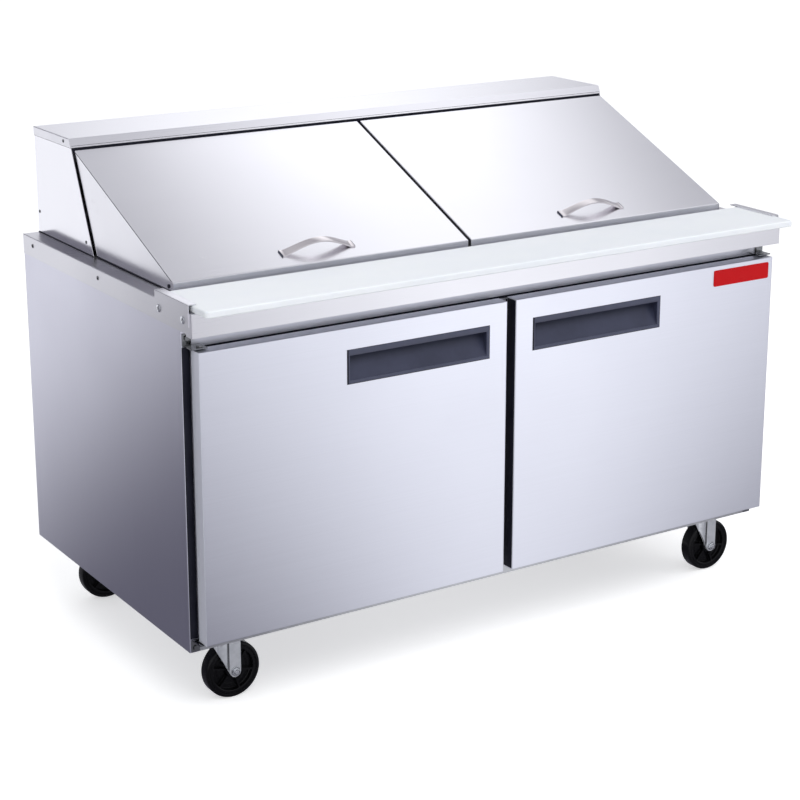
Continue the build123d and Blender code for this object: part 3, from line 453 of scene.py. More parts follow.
def painted(name, colour, rough=0.3, coat=0.3, gloss=0.5):
    """Sprayed enamel with orange peel and a little dust."""
    g, place = new_material(name)
    peel = g.noise(place, 260.0, 2.0)
    dust = g.between(g.noise(place, 12.0, 5.0, 0.65), 0.5, 0.75)
    dusty = tuple(c * 0.85 + 0.02 for c in colour) + (1.0,)
    shade = g.mix(g.times(dust, 0.4), tuple(colour) + (1.0,), dusty)
    roughness = g.times(dust, 0.25, rough)
    normal = bump(g, peel, 0.2, 0.0002)
    lacquer = {"Specular_IOR_Level": gloss, "Coat_Weight": coat, "Coat_Roughness": 0.15}
    return finished(g, shade, roughness, normal, **lacquer)


def copper(name):
    """Drawn copper tube, tarnished in patches."""
    g, place = new_material(name)
    tarnish = g.between(g.noise(place, 22.0, 5.0, 0.65), 0.4, 0.65)
    fine = g.noise(place, 700.0, 2.0)
    colour = g.mix(tarnish, (0.86, 0.47, 0.32, 1), (0.52, 0.26, 0.17, 1))
    roughness = g.times(tarnish, 0.22, g.times(fine, 0.1, 0.18))
    normal = bump(g, fine, 0.2, 0.00008)
    return finished(g, colour, roughness, normal, Metallic=1.0)


def foam(name):
    """Cut polyurethane foam with open cells."""
    g, place = new_material(name)
    cells = g.add("TexVoronoi", Vector=place, Scale=520.0).outputs["Distance"]
    cloud = g.noise(place, 8.0, 4.0)
    colour = g.mix(g.between(cloud, 0.3, 0.7), (0.80, 0.68, 0.42, 1), (0.90, 0.80, 0.56, 1))
    roughness = g.between(cells, 0.0, 1.0, 0.98, 0.82)
    normal = bump(g, cells, 0.7, 0.0006)
    return finished(g, colour, roughness, normal)


def make_materials():
    """Every material by its name. A CAD slot takes the material of the same name."""
    made = {}

    def add(name, maker, *settings, **more):
        made[name] = maker(name, *settings, **more)

    add("steel_side", brushed_steel, 0.80, "z", 0.28, (1.02, 1.02, 1.13))
    add("steel_door", brushed_steel, 0.86, "x", 0.30, (0.985, 1.0, 1.09), ends=0.5)
    add("steel_frame", brushed_steel, 0.88, "x", 0.34, (0.97, 0.98, 1.06), metallic=0.6)
    add("steel_top", brushed_steel, 0.82, "x", 0.26)
    add("steel_hood", brushed_steel, 0.88, "x", 0.26)
    add("steel_hood_side", brushed_steel, 0.88, "y", 0.12, depth=0.12)
    add("steel_lid", brushed_steel, 0.87, "x", 0.18, depth=0.10)
    add("steel_inner", brushed_steel, 0.66, "x", 0.32)
    add("steel_pan", brushed_steel, 0.78, "y", 0.22)
    add("galvanized", galvanized)
    add("liner_metal", stucco_aluminium)
    add("foam", foam)
    add("board_plastic", cutting_plastic)
    add("door_plastic", moulded_plastic, (0.72, 0.73, 0.75), 0.40, spread=0.03)
    add("gasket_rubber", moulded_plastic, (0.010, 0.010, 0.020), 0.55, 500.0, gloss=0.2)
    add("handle_plastic", moulded_plastic, (0.029, 0.033, 0.064), 0.42, 1100.0, gloss=0.4)
    # A copy of the handle plastic painted lighter, as if lit, with a stronger painted edge highlight; the
    # pocket keeps the plain one.
    add("handle_frame", moulded_plastic, (0.050, 0.055, 0.094), 0.38, 1100.0, gloss=0.45, rub=1.6)
    add("handle_metal", satin_metal, 0.76, (1.0, 0.95, 0.965), 0.18)
    add("zinc", bright_zinc)
    # For these three materials the last number is how strongly shade is painted into their corners.
    add("fork_zinc", bright_zinc, 1.0, 0.24, 0.68, 0.02, 0.9)
    add("bright_chrome", bright_zinc, 0.95, 0.15, 0.9, 0.02, 0.95)
    # A darkened copy of the chrome for the door hinges: painted shade and dark reflections on the brackets.
    add("hinge_chrome", bright_zinc, 0.30, 0.16, 1.0, 0.02, 0.9)
    add("screw_dark", bright_zinc, 0.20, 0.25, 1.0)
    add("wheel_rubber", moulded_plastic, (0.002, 0.002, 0.003), 0.24, 900.0, 0.12, gloss=0.22)
    add("shelf_coating", moulded_plastic, (0.78, 0.79, 0.80), 0.30, 400.0, spread=0.03)
    add("compressor_paint", painted, (0.012, 0.012, 0.014))
    add("coil_metal", satin_metal, 0.78, (0.98, 1.0, 1.02), 0.35)
    add("shroud_paint", painted, (0.03, 0.03, 0.034), 0.45)
    add("fan_plastic", moulded_plastic, (0.03, 0.03, 0.034), 0.4)
    add("copper", copper)
    add("plate_enamel", painted, (0.54, 0.002, 0.005), 0.35, 0.0, 0.15)
    return made


def dress_cad(materials):
    """Gives every CAD node the material of its slot, or the one named for it here."""
    special = {
        "hood_sides": "steel_hood_side",
        "face_frame": "steel_frame",
        "door_hinges": "hinge_chrome",
        "lid_liner_left": "steel_inner",
        "lid_liner_right": "steel_inner",
    }
    for part in frame["record"]["subparts"]:
        node = frame["nodes"][part["node"]]
        node.data.materials.clear()
        node.data.materials.append(materials[special.get(part["node"], part["material_slot"])])


# ------------ shapes, drawn in millimetres

SHARP_ANGLE = math.radians(32)
EDGE_SEGMENTS = 2
IN_PLACE = Matrix.Identity(4)
MIRROR = Matrix.Diagonal((-1, 1, 1, 1))


def spans(node):
    """A CAD node's limits along each axis."""
    low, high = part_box(node)
    return [(a / MM, b / MM) for a, b in zip(low, high)]


def middle(node):
    return [(a + b) / 2 for a, b in spans(node)]


def across(axis, u, v, along):
    """A point at a distance along an axis, with (u, v) on the other two axes in their order."""
    return {"x": (along, u, v), "y": (u, along, v), "z": (u, v, along)}[axis]


def arc(centre, radius, start, end, steps=8):
    """Points on a circle between two angles in degrees."""
    points = []
    for i in range(steps + 1):
        angle = math.radians(start + (end - start) * i / steps)
        points.append((centre[0] + radius * math.cos(angle), centre[1] + radius * math.sin(angle)))
    return points


def circle(radius, sides, start=0):
    return arc((0, 0), radius, start, start + 360, sides)[:-1]


def rounded(u, v, radius, steps=5):
    """Outline of a rectangle with round corners."""
    points = []
    for i, (cu, cv) in enumerate(((u[1], v[1]), (u[0], v[1]), (u[0], v[0]), (u[1], v[0]))):
        inward = (-1 if cu == u[1] else 1, -1 if cv == v[1] else 1)
        centre = (cu + inward[0] * radius, cv + inward[1] * radius)
        points += arc(centre, radius, 90 * i, 90 * (i + 1), steps)
    return points


def grown(pair, by):
    return (pair[0] - by, pair[1] + by)


class Shape:
    """A mesh of separate shells."""

    def __init__(self):
        self.bm = bmesh.new()

    def skin(self, rings, closed=False, caps=(True, True)):
        """A skin over rings of points; closed joins the last ring to the first."""
        made = [[self.bm.verts.new(point) for point in ring] for ring in rings]
        pairs = list(zip(made, made[1:]))
        if closed:
            pairs.append((made[-1], made[0]))
        for low, high in pairs:
            for i in range(len(low)):
                j = (i + 1) % len(low)
                self.bm.faces.new((low[i], low[j], high[j], high[i]))
        if caps[0] and not closed:
            self.bm.faces.new(made[0][::-1])
        if caps[1] and not closed:
            self.bm.faces.new(made[-1])

    def prism(self, outline, axis, span):
        self.skin([[across(axis, u, v, w) for u, v in outline] for w in span])

    def block(self, x, y, z):
        self.prism([(x[0], y[0]), (x[1], y[0]), (x[1], y[1]), (x[0], y[1])], "z", z)

    def turned(self, profile, axis, at=(0, 0, 0), sides=48, bored=False):
        """A profile of (radius, distance along the axis) turned about an axis through a point."""
        rings = []
        for radius, along in profile:
            rings.append([Vector(at) + Vector(across(axis, u, v, along)) for u, v in circle(radius, sides)])
        self.skin(rings, closed=bored)

    def frame(self, section, x, z):
        """A section of (outward, y) points carried round a rectangle that stands across Y."""
        rings = []
        for i, j in ((0, 0), (1, 0), (1, 1), (0, 1)):
            right, up = 2 * i - 1, 2 * j - 1
            rings.append([(x[i] + right * out, y, z[j] + up * out) for out, y in section])
        self.skin(rings, closed=True)

    def tube(self, path, radius, sides=10, closed=False):
        """A round bar along a path, with its rings square to the path."""
        path = [Vector(p) for p in path]
        rings = []
        side = None
        for i, point in enumerate(path):
            before = path[i - 1] if i or closed else point
            after = path[(i + 1) % len(path)] if i + 1 < len(path) or closed else point
            way = (after - before).normalized()
            side = way.orthogonal() if side is None else side - way * side.dot(way)
            side = side.normalized()
            other = way.cross(side)
            rings.append([point + side * u + other * v for u, v in circle(radius, sides)])
        self.skin(rings, closed=closed)

    def sheet(self, rows):
        """A single surface over a grid of points."""
        made = [[self.bm.verts.new(point) for point in row] for row in rows]
        for low, high in zip(made, made[1:]):
            for i in range(len(low) - 1):
                self.bm.faces.new((low[i], low[i + 1], high[i + 1], high[i]))

    def added(self, other, matrix):
        """Another shape's shells, placed by a matrix."""
        copy = other.bm.copy()
        copy.transform(matrix)
        mesh = bpy.data.meshes.new("copy")
        copy.to_mesh(mesh)
        copy.free()
        self.bm.from_mesh(mesh)
        bpy.data.meshes.remove(mesh)


def piece(name, shape, body, slot, replaces=(), edge=0.0, wall=0.0, place=IN_PLACE, material=None):
    """Makes a shape into a piece on a body: wall gives a sheet its thickness, edge rounds its corners."""
    bm = shape.bm.copy()
    bm.transform(place)
    bmesh.ops.recalc_face_normals(bm, faces=bm.faces)
    bm.transform(Matrix.Diagonal((MM, MM, MM, 1)))
    mesh = bpy.data.meshes.new(name)
    bm.to_mesh(mesh)
    bm.free()
    mesh.polygons.foreach_set("use_smooth", [True] * len(mesh.polygons))
    made = bpy.data.objects.new(name, mesh)
    bpy.context.scene.collection.objects.link(made)
    if wall:
        thick = made.modifiers.new("wall", "SOLIDIFY")
        thick.thickness = wall * MM
        thick.offset = -1.0
        thick.use_even_offset = True
    if edge:
        bevel = made.modifiers.new("edge", "BEVEL")
        bevel.width = edge * MM
        bevel.segments = EDGE_SEGMENTS
        bevel.limit_method = "ANGLE"
        bevel.angle_limit = SHARP_ANGLE
        bevel.harden_normals = True
    else:
        mesh.set_sharp_from_angle(angle=SHARP_ANGLE)
    mesh.materials.append(MATERIALS[material or slot])
    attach(made, body)
    if replaces:
        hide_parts(*replaces)


# ------------ casters

CASTER_TRAIL = 30.0
AXLE_BORE = 6.05
WHEEL_CENTRE_Z = middle("caster_wheel_front_left")[2]
FORK_INNER = 19.0
FORK_TOP_Z = 139
FORK_REAR_X = -24
FORK_FRONT_X = 43
FORK_FOOT_RADIUS = 13.0
SLANT_FOOT = (17.4, 59.5)
CHEEK_FLAT = 21.0
STRAP_EDGE_X = 15.6
STRAP_FACE = 24.4
FOLD_MIDDLE, FOLD_HALF, FOLD_RISE = 1.5, 11.5, 4.6
WASHER_FACE = 24.2
RIBS = 6


def wheel_shape():
    """Moulded wheel about the Y axis: round tread, rim lip, deep web with ribs, and a hub."""
    hub = [(AXLE_BORE, 17.2), (7.2, 18), (15, 18), (16.8, 17.3), (18, 15.5), (19.5, 5.2), (21.5, 4)]
    web = [(34.5, 4), (35.4, 4.9), (36.6, 4.9), (37.5, 4), (44.6, 4), (46, 5.4)]
    rim = [(47.4, 13.4), (48.6, 14.4), (53.4, 14.4), (54.2, 13.6), (54.8, 13.6), (55.6, 15.6)]
    tread = arc((57.5, 10), 6.0, 90, 0, 6)
    half = hub + web + rim + tread
    profile = half + [(radius, -along) for radius, along in reversed(half)]
    shape = Shape()
    shape.turned(profile, "y", sides=96, bored=True)
    rib = Shape()
    for face in (-1, 1):
        rib.block((16, 48.5), sorted((face * 3.4, face * 12.6)), (-2.0, 2.0))
    for i in range(RIBS):
        shape.added(rib, Matrix.Rotation(math.radians(360 / RIBS * i + 12), 4, "Y"))
    return shape


def cheek_foot(x):
    """Height of a cheek's lower edge: a slant down to the round end about the axle."""
    foot_x, foot_z = SLANT_FOOT
    if x < foot_x:
        return FORK_TOP_Z + (x - FORK_REAR_X) * (foot_z - FORK_TOP_Z) / (foot_x - FORK_REAR_X)
    return WHEEL_CENTRE_Z - math.sqrt(max(0.0, FORK_FOOT_RADIUS ** 2 - (x - CASTER_TRAIL) ** 2))


def cheek_face(x):
    """How far a cheek's outer face stands from the fork's middle: a round fold, a groove and a flat strap."""
    from_fold = (x - FOLD_MIDDLE) / FOLD_HALF
    if abs(from_fold) < 1:
        return CHEEK_FLAT + FOLD_RISE * math.sqrt(1 - from_fold ** 2)
    return STRAP_FACE if x > STRAP_EDGE_X else CHEEK_FLAT


def fork_shape():
    """Pressed fork about the kingpin: bridge, two shaped cheeks and the bearing race."""
    shape = Shape()
    fine_stops = [12.9, 13.4, STRAP_EDGE_X, STRAP_EDGE_X + 0.3, SLANT_FOOT[0]]
    stops = sorted([float(x) for x in range(FORK_REAR_X, FORK_FRONT_X + 1)] + fine_stops)
    for face in (-1, 1):
        rings = []
        for x in stops:
            outline = [(face * FORK_INNER, FORK_TOP_Z), (face * cheek_face(x), FORK_TOP_Z)]
            outline += [(y, cheek_foot(x) - 0.01) for y, _ in outline[::-1]]
            rings.append([(x, y, z) for y, z in outline])
        shape.skin(rings)
    shape.prism(rounded((-22.2, 22.2), (135, 141.2), 2.6), "x", (-24.6, 44))
    lower = [(30, 137), (32, 138.6), (32, 142.6), (29.6, 144.4), (29.6, 146)]
    upper = [(31.4, 147.6), (31.4, 149.6), (28.6, 152.4), (26.4, 153.4), (8, 153.4), (8, 137)]
    shape.turned(lower + upper, "z", sides=64, bored=True)
    return shape


def axle_shape():
    """Axle bolt along Y with its head, washers and lock nut. The nut is at the front."""
    across_flats = 15.5
    shape = Shape()
    shape.turned([(4.6, 29), (5.2, 28.4), (5.2, -31.6), (4.4, -32.6)], "y", sides=24)
    for face, thick in ((1, 5.6), (-1, 5.4)):
        shape.turned([(10.4, face * WASHER_FACE), (10.4, face * (WASHER_FACE + 1.2))], "y", sides=40)
        start = WASHER_FACE + 1.1
        shape.prism(circle(across_flats / math.sqrt(3), 6, 18), "y", (face * start, face * (start + thick)))
    collar = [(7.2, -30.6), (7.0, -31.6), (6.4, -32.0), (6.0, -31.6), (6.0, -30.6)]
    shape.turned(collar, "y", sides=32, bored=True)
    return shape


def make_casters():
    wheel, fork, axle = wheel_shape(), fork_shape(), axle_shape()
    for end in ENDS:
        for side, _ in SIDES:
            corner = f"{end}_{side}"
            body = f"caster_{corner}"
            at = middle(f"caster_wheel_{corner}")
            hub = Matrix.Translation(at)
            kingpin = Matrix.Translation((at[0] - CASTER_TRAIL, at[1], 0))
            replaced = (f"caster_wheel_{corner}",)
            piece(f"wheel_{corner}", wheel, f"wheel_{corner}", "wheel_rubber", replaced, place=hub)
            replaced = (f"caster_fork_{corner}",)
            piece(f"fork_{corner}", fork, body, "zinc", replaced, place=kingpin, material="fork_zinc")
            piece(f"axle_bolt_{corner}", axle, body, "zinc", edge=0.5, place=hub, material="bright_chrome")


# ------------ lids

LID_REAR = (235.5, 1110.0)
LID_FRONT = (-232.5, 912.0)
LID_SLOPE = math.atan2(LID_REAR[1] - LID_FRONT[1], LID_REAR[0] - LID_FRONT[0])
LID_CHEEK_FOOT_Y = 135.5
HANDLE_DOWN_LID = 465.0
HANDLE_HALF = 87.5
HANDLE_FOOT = 80.0
HANDLE_RISE = 23.6
HANDLE_STEPS = 56


def lid_place(x, down_lid):
    """Placement on a lid's sloping face, with +Y up the slope and +Z out of the face."""
    y = LID_REAR[0] - down_lid * math.cos(LID_SLOPE)
    z = LID_REAR[1] - down_lid * math.sin(LID_SLOPE)
    return Matrix.Translation((x, y, z)) @ Matrix.Rotation(LID_SLOPE, 4, "X")


def strap_shape():
    """Arched strap handle that widens and flows into two flat feet."""
    line = []
    for i in range(HANDLE_STEPS + 1):
        x = -HANDLE_HALF + 2 * HANDLE_HALF * i / HANDLE_STEPS
        share = max(0.0, 1 - abs(x) / HANDLE_FOOT)
        line.append((x, 1.5 + HANDLE_RISE * math.sin(math.pi / 2 * share) ** 1.15))
    rings = []
    for i, (x, z) in enumerate(line):
        (xa, za), (xb, zb) = line[max(i - 1, 0)], line[min(i + 1, HANDLE_STEPS)]
        tilt = math.atan2(zb - za, xb - xa)
        out = abs(x) / HANDLE_HALF
        half_width = 8.4 + 3.0 * out ** 3
        half_thick = 2.0 - 0.4 * out
        section = rounded((-half_width, half_width), (-half_thick, half_thick), 1.0, 3)
        rings.append([(x - t * math.sin(tilt), w, z + t * math.cos(tilt)) for w, t in section])
    shape = Shape()
    shape.skin(rings)
    return shape


def seal_shape(outer, inner, low):
    """Dark bead under a lid's front flange and its outer cheek."""
    front = LID_FRONT[0] + 0.3
    inward = 1 if inner > outer else -1
    cheek = sorted((outer - inward * 1.4, outer + inward * 1.0))
    shape = Shape()
    shape.block(sorted((outer, inner)), (front, front + 1.2), (low - 1.3, low))
    shape.block(cheek, (front, LID_CHEEK_FOOT_Y), (low - 1.3, low + 1.4))
    return shape


def make_lids():
    strap = strap_shape()
    for side, sign in SIDES:
        (x0, x1), _, (low, _) = spans(f"lid_skin_{side}")
        outer, inner = (x0, x1) if sign < 0 else (x1, x0)
        body = f"lid_{side}"
        place = lid_place(middle(f"lid_handle_{side}")[0], HANDLE_DOWN_LID)
        piece(f"lid_strap_{side}", strap, body, "handle_metal", (f"lid_handle_{side}",), place=place)
        # Painted shade: dark blocks over the strap's two ends stand in for its dark end faces.
        caps = Shape()
        for end in (-1, 1):
            outer_end = sorted((end * (HANDLE_HALF - 0.3), end * (HANDLE_HALF + 0.9)))
            caps.prism(rounded((-11.2, 11.2), (-0.2, 3.2), 1.0, 3), "x", outer_end)
        piece(f"strap_end_shade_{side}", caps, body, "handle_plastic", place=place)
        piece(f"lid_seal_{side}", seal_shape(outer, inner, low), body, "gasket_rubber", edge=0.2)
        edge_line = Shape()
        edge_line.block((-0.25, 0.25), (-500, -10), (-2.6, -1.5))
        piece(f"lid_edge_line_{side}", edge_line, body, "gasket_rubber", place=lid_place(outer, 0))
        bumper = Shape()
        bumper.turned([(0.1, 0), (4.4, 0), (4.4, 1.4), (3.4, 2.2), (0.1, 2.4)], "x", sides=24)
        at = Matrix.Translation((outer, LID_FRONT[0] + 20, low + 9))
        turned = MIRROR if sign < 0 else IN_PLACE
        piece(f"lid_bumper_{side}", bumper, body, "gasket_rubber", place=at @ turned)


def make_hood_seams():
    """Dark beads at the hood's foot, under its lapped top, and behind the gap over the lids."""
    half = spans("hood_sides")[0][1]
    _, (foot_y, rear_y), (foot_z, _) = spans("hood_sides")
    _, (strip_y, _), (strip_z, _) = spans("hood_top")
    bead = Shape()
    for sign in (-1, 1):
        bead.block(sorted((sign * (half - 0.4), sign * (half + 1.3))), (foot_y, rear_y), (foot_z, foot_z + 2))
        lap = sorted((sign * (half - 0.2), sign * (half + 0.7)))
        bead.block(lap, (strip_y + 3, rear_y), (strip_z - 0.9, strip_z + 0.4))
    bead.block((2 - half, half - 2), (strip_y + 1.6, strip_y + 2.6), (strip_z - 12, strip_z + 4))
    piece("hood_beads", bead, "cabinet", "gasket_rubber")


# ------------ doors

DOOR_SHEET = 0.8
TRAY_DEPTH = 26.0
TRAY_TOP_STRIP = 13.5


def tray_ring(x, z, inset, depth, top):
    """The corners of a tray's outline, drawn in at its sides and foot by inset and at its top by top."""
    left, right = grown(x, -inset)
    low, high = z[0] + inset, z[1] - top
    return [(left, depth, low), (right, depth, low), (right, depth, high), (left, depth, high)]


def tray_frame_shape(x, y, z):
    """Bevelled frame round a handle's pocket."""
    face = y[0]
    skin = face + DOOR_SHEET
    rings = [
        tray_ring(x, z, 1.0, skin, 0.6),
        tray_ring(x, z, 1.0, face + 0.3, 0.6),
        tray_ring(x, z, 1.6, face, 1.2),
        tray_ring(x, z, 4.6, face, TRAY_TOP_STRIP - 4.5),
        tray_ring(x, z, 7.4, skin + 0.9, TRAY_TOP_STRIP),
        tray_ring(x, z, 7.4, skin + 2.4, TRAY_TOP_STRIP),
        tray_ring(x, z, 3.4, skin + 2.4, 3.4),
        tray_ring(x, z, 3.4, skin, 3.4),
    ]
    shape = Shape()
    shape.skin(rings, closed=True)
    return shape


def tray_pocket_shape(x, y, z):
    """A handle's pocket, deep at its top and shallow at its foot, in a box behind the door's skin."""
    skin = y[0] + DOOR_SHEET
    mouth = tray_ring(x, z, 7.2, skin + 1.2, TRAY_TOP_STRIP - 0.2)
    deep = [(px, skin + 1.8, pz + 0.3) for px, _, pz in mouth[:2]]
    deep += [(px, skin + TRAY_DEPTH, pz - 1.5) for px, _, pz in mouth[2:]]
    shape = Shape()
    shape.skin([tray_ring(x, z, 3.5, y[1], 3.5), tray_ring(x, z, 3.5, skin + 1.2, 3.5), mouth, deep])
    return shape


GASKET_SECTION = (
    [(-11, -354.4), (11, -354.4), (11, -351.6), (6.5, -350), (6.5, -348.6), (11, -347), (11, -343.4)]
    + [(10, -342.6), (-10, -342.6), (-11, -343.4), (-11, -347), (-6.5, -348.6), (-6.5, -350), (-11, -351.6)]
)


# Dark strips beside and above each door opening: painted shade standing in for the deep gaps round the doors.
GAP_SHADE_X = (744.6, 762.2)
GAP_SHADE_Y = (-344.3, -343.4)
HEAD_GAP_SHADE_Y = (-342.4, -341.4)
# Depth of the dark strips on the doors' inner side faces, painted shade in the gap between the doors.
EDGE_SHADE_Y = (-391.4, -362)


def make_doors():
    for side, sign in SIDES:
        body = f"door_{side}"
        place = MIRROR if sign < 0 else IN_PLACE
        handle = f"door_handle_{side}"
        x, y, z = spans(handle)
        pocket = tray_pocket_shape(x, y, z)
        piece(f"tray_pocket_{side}", pocket, body, "handle_plastic", (handle,), edge=0.4)
        rim = tray_frame_shape(x, y, z)
        # The frame takes the handle plastic painted lighter, as if lit.
        piece(f"tray_frame_{side}", rim, body, "handle_plastic", edge=0.35, material="handle_frame")
        skin = y[0] + DOOR_SHEET
        # Painted shade: a dark ring round the tray and a dark strip along its left edge, standing in for its
        # shaded side wall.
        lip = Shape()
        lip.frame([(-1.2, skin), (0, skin), (0, skin - 0.4), (-1.2, skin - 0.5)], x, z)
        lip.block((x[0] + 0.2, x[0] + 3.4), (skin - 0.9, skin - 0.1), (z[0] + 0.3, z[1] - 0.3))
        piece(f"tray_lip_{side}", lip, body, "gasket_rubber")
        x, y, z = spans(f"door_gasket_{side}")
        gasket = Shape()
        gasket.frame(GASKET_SECTION, grown(x, -11), grown(z, -11))
        piece(f"door_seal_{side}", gasket, body, "gasket_rubber", (f"door_gasket_{side}",), edge=0.5)
        x, _, (low, high) = spans(f"door_skin_{side}")
        inner_edge = min(abs(v) for v in x)
        # Painted shade: dark strips on the face frame's return beside the door and along its head.
        gap_shade = Shape()
        gap_shade.prism(rounded(GAP_SHADE_X, GAP_SHADE_Y, 0.3, 2), "z", (low + 1, high + 1))
        gap_shade.prism(rounded(HEAD_GAP_SHADE_Y, (high - 7, high - 1.6), 0.4, 2), "x", (0, 742))
        piece(f"gap_shade_strip_{side}", gap_shade, "cabinet", "gasket_rubber", place=place)
        # Painted shade: a dark strip on the door's inner side face, where the other door shades it.
        guard = Shape()
        outline = rounded((inner_edge - 0.7, inner_edge + 0.2), EDGE_SHADE_Y, 0.3, 2)
        guard.prism(outline, "z", (low + 2, high - 2))
        piece(f"door_edge_shade_{side}", guard, body, "gasket_rubber", place=place)


def make_badge():
    x, y, z = spans("name_plate")
    plate = Shape()
    plate.prism(rounded(x, z, 4), "y", (y[0] + 0.2, y[1]))
    piece("badge", plate, "door_right", "plate_enamel", ("name_plate",), edge=0.35)


# ------------ screws

BRACKET_SCREW = (8.2, 2.4)
FLANGE_SCREW = (4.5, 1.8)
HOOD_SCREW = (3.6, 1.5)


def screw_shape(radius, height):
    """Domed screw head on the X axis with a cross recess in its face."""
    rows = []
    rings, turns = 14, 64
    for i in range(rings):
        reach = radius * (1 - i / (rings - 0.5))
        row = []
        for j in range(turns + 1):
            angle = math.tau * (j % turns) / turns
            u, v = reach * math.cos(angle), reach * math.sin(angle)
            top = height * (0.35 + 0.65 * math.sqrt(max(0.0, 1 - (reach / radius) ** 2)))
            arm, off = max(abs(u), abs(v)), min(abs(u), abs(v))
            inside = min(1.0, max(0.0, (0.13 * radius - off) / (0.05 * radius)))
            inside *= min(1.0, max(0.0, (0.52 * radius - arm) / (0.07 * radius)))
            row.append((top - 0.55 * height * inside, u, v))
        rows.append(row)
    skirt = [(0.0, u, v) for _, u, v in rows[0]]
    shape = Shape()
    shape.sheet([skirt] + rows)
    bmesh.ops.remove_doubles(shape.bm, verts=shape.bm.verts, dist=0.0001)
    return shape


def make_screws():
    """The heads of the CAD's case screws, at the same places on both sides."""
    rear = spans("back_panel")[1][1]
    top_half = spans("countertop")[0][1]
    bracket_half = spans("board_brackets")[0][1]
    hood_half = spans("hood_sides")[0][1]
    flange_half = spans("hood_top")[0][1]
    places = [(bracket_half, 705, 872.5, BRACKET_SCREW), (bracket_half, 811, 872.5, BRACKET_SCREW)]
    places += [(top_half, 54, 871, FLANGE_SCREW), (top_half, 407, 871, FLANGE_SCREW)]
    places += [(flange_half, 168, 1124, HOOD_SCREW)]
    places += [(hood_half, 12, 939, HOOD_SCREW), (hood_half, 266, 916, HOOD_SCREW)]
    large, small, recess_shade = Shape(), Shape(), Shape()
    for i, (x, from_rear, z, (radius, height)) in enumerate(places):
        head = screw_shape(radius, height)
        # Painted shade: a dark cross set in each head's recess.
        cross = Shape()
        for arm, off in ((0.5 * radius, 0.12 * radius), (0.12 * radius, 0.5 * radius)):
            cross.block((0.2 * height, 0.62 * height), (-arm, arm), (-off, off))
        turn = Matrix.Rotation(math.radians(20 + 47 * i), 4, "X")
        for mirror in (IN_PLACE, MIRROR):
            place = mirror @ Matrix.Translation((x, rear - from_rear, z)) @ turn
            (large if radius > 5 else small).added(head, place)
            recess_shade.added(cross, place)
    piece("bracket_screws", large, "cabinet", "zinc", ("case_screws",), material="bright_chrome")
    piece("sheet_screws", small, "cabinet", "zinc", material="screw_dark")
    piece("screw_recess_shade", recess_shade, "cabinet", "zinc", material="screw_dark")


# ------------ pans, louvres and machinery

PAN_COLUMNS = 8
PAN_ROWS = 3
PAN_RIM_HALF = (88.0, 81.0)
LOUVRE_COLUMNS = (-465, -155, 155, 465)
LOUVRE_HALF = 135
LOUVRE_ROWS = 17
LOUVRE_PITCH = 19
LOUVRE_SLOT = 9
LOUVRE_FIRST = 26
FAN_BORE = 4.05


def slot_of(node):
    return next(part["material_slot"] for part in frame["record"]["subparts"] if part["node"] == node)


def pan_shape():
    """Drawn steel pan: a rolled rim, soft shoulders, tapered walls and a rounded floor."""
    levels = [(0, 0.2, 14), (0, 1.3, 14), (0.7, 1.95, 14), (2.2, 2.1, 14), (6, 2.1, 19), (7.6, 1.5, 21)]
    levels += [(8.6, -1.5, 21), (12.6, -138, 20), (14.0, -144.5, 20), (18.5, -148.8, 19), (26, -149.8, 16)]
    rings = []
    for inset, height, radius in levels:
        half_x, half_y = (half - inset for half in PAN_RIM_HALF)
        rings.append([(x, y, height) for x, y in rounded((-half_x, half_x), (-half_y, half_y), radius, 4)])
    shape = Shape()
    shape.skin(rings, caps=(False, True))
    return shape


def make_pans():
    (x0, x1), (y0, y1), (_, rim_top) = spans("food_pans")
    pan = pan_shape()
    pans = Shape()
    half_x, half_y = PAN_RIM_HALF
    for column in range(PAN_COLUMNS):
        x = x0 + half_x + (x1 - x0 - 2 * half_x) * column / (PAN_COLUMNS - 1)
        for row in range(PAN_ROWS):
            y = y0 + half_y + (y1 - y0 - 2 * half_y) * row / (PAN_ROWS - 1)
            pans.added(pan, Matrix.Translation((x, y, rim_top - 2.1)))
    piece("pans", pans, "cabinet", "steel_pan", ("food_pans",), wall=0.9)


def make_louvres():
    """Pressed louvres over the machine space: slots in a sheet, each with a blade curling inwards."""
    node = "rear_grille"
    x, y, z = spans(node)
    feet = [z[0] + LOUVRE_FIRST + LOUVRE_PITCH * row for row in range(LOUVRE_ROWS)]
    x_stops = [x[0]] + [c + s * LOUVRE_HALF for c in LOUVRE_COLUMNS for s in (-1, 1)] + [x[1]]
    z_stops = [z[0]] + [foot + up for foot in feet for up in (0, LOUVRE_SLOT)] + [z[1]]
    sheet = Shape()
    points = [[sheet.bm.verts.new((px, y[1], pz)) for px in x_stops] for pz in z_stops]
    for r in range(len(z_stops) - 1):
        for c in range(len(x_stops) - 1):
            if r % 2 == 0 or c % 2 == 0:
                corners = (points[r][c], points[r][c + 1], points[r + 1][c + 1], points[r + 1][c])
                sheet.bm.faces.new(corners)
    piece("louvre_sheet", sheet, "cabinet", slot_of(node), (node,), wall=1.2)
    blades = Shape()
    for foot in feet:
        head = foot + LOUVRE_SLOT
        centre = (y[0] - 0.4, head - 7.6)
        outline = [(y[1] - 0.1, head)] + arc(centre, 8.2, 102, 172, 6) + arc(centre, 7.2, 172, 102, 6)
        for column in LOUVRE_COLUMNS:
            blades.prism(outline, "x", grown((column - LOUVRE_HALF, column + LOUVRE_HALF), 1))
    piece("louvre_blades", blades, "cabinet", slot_of(node))


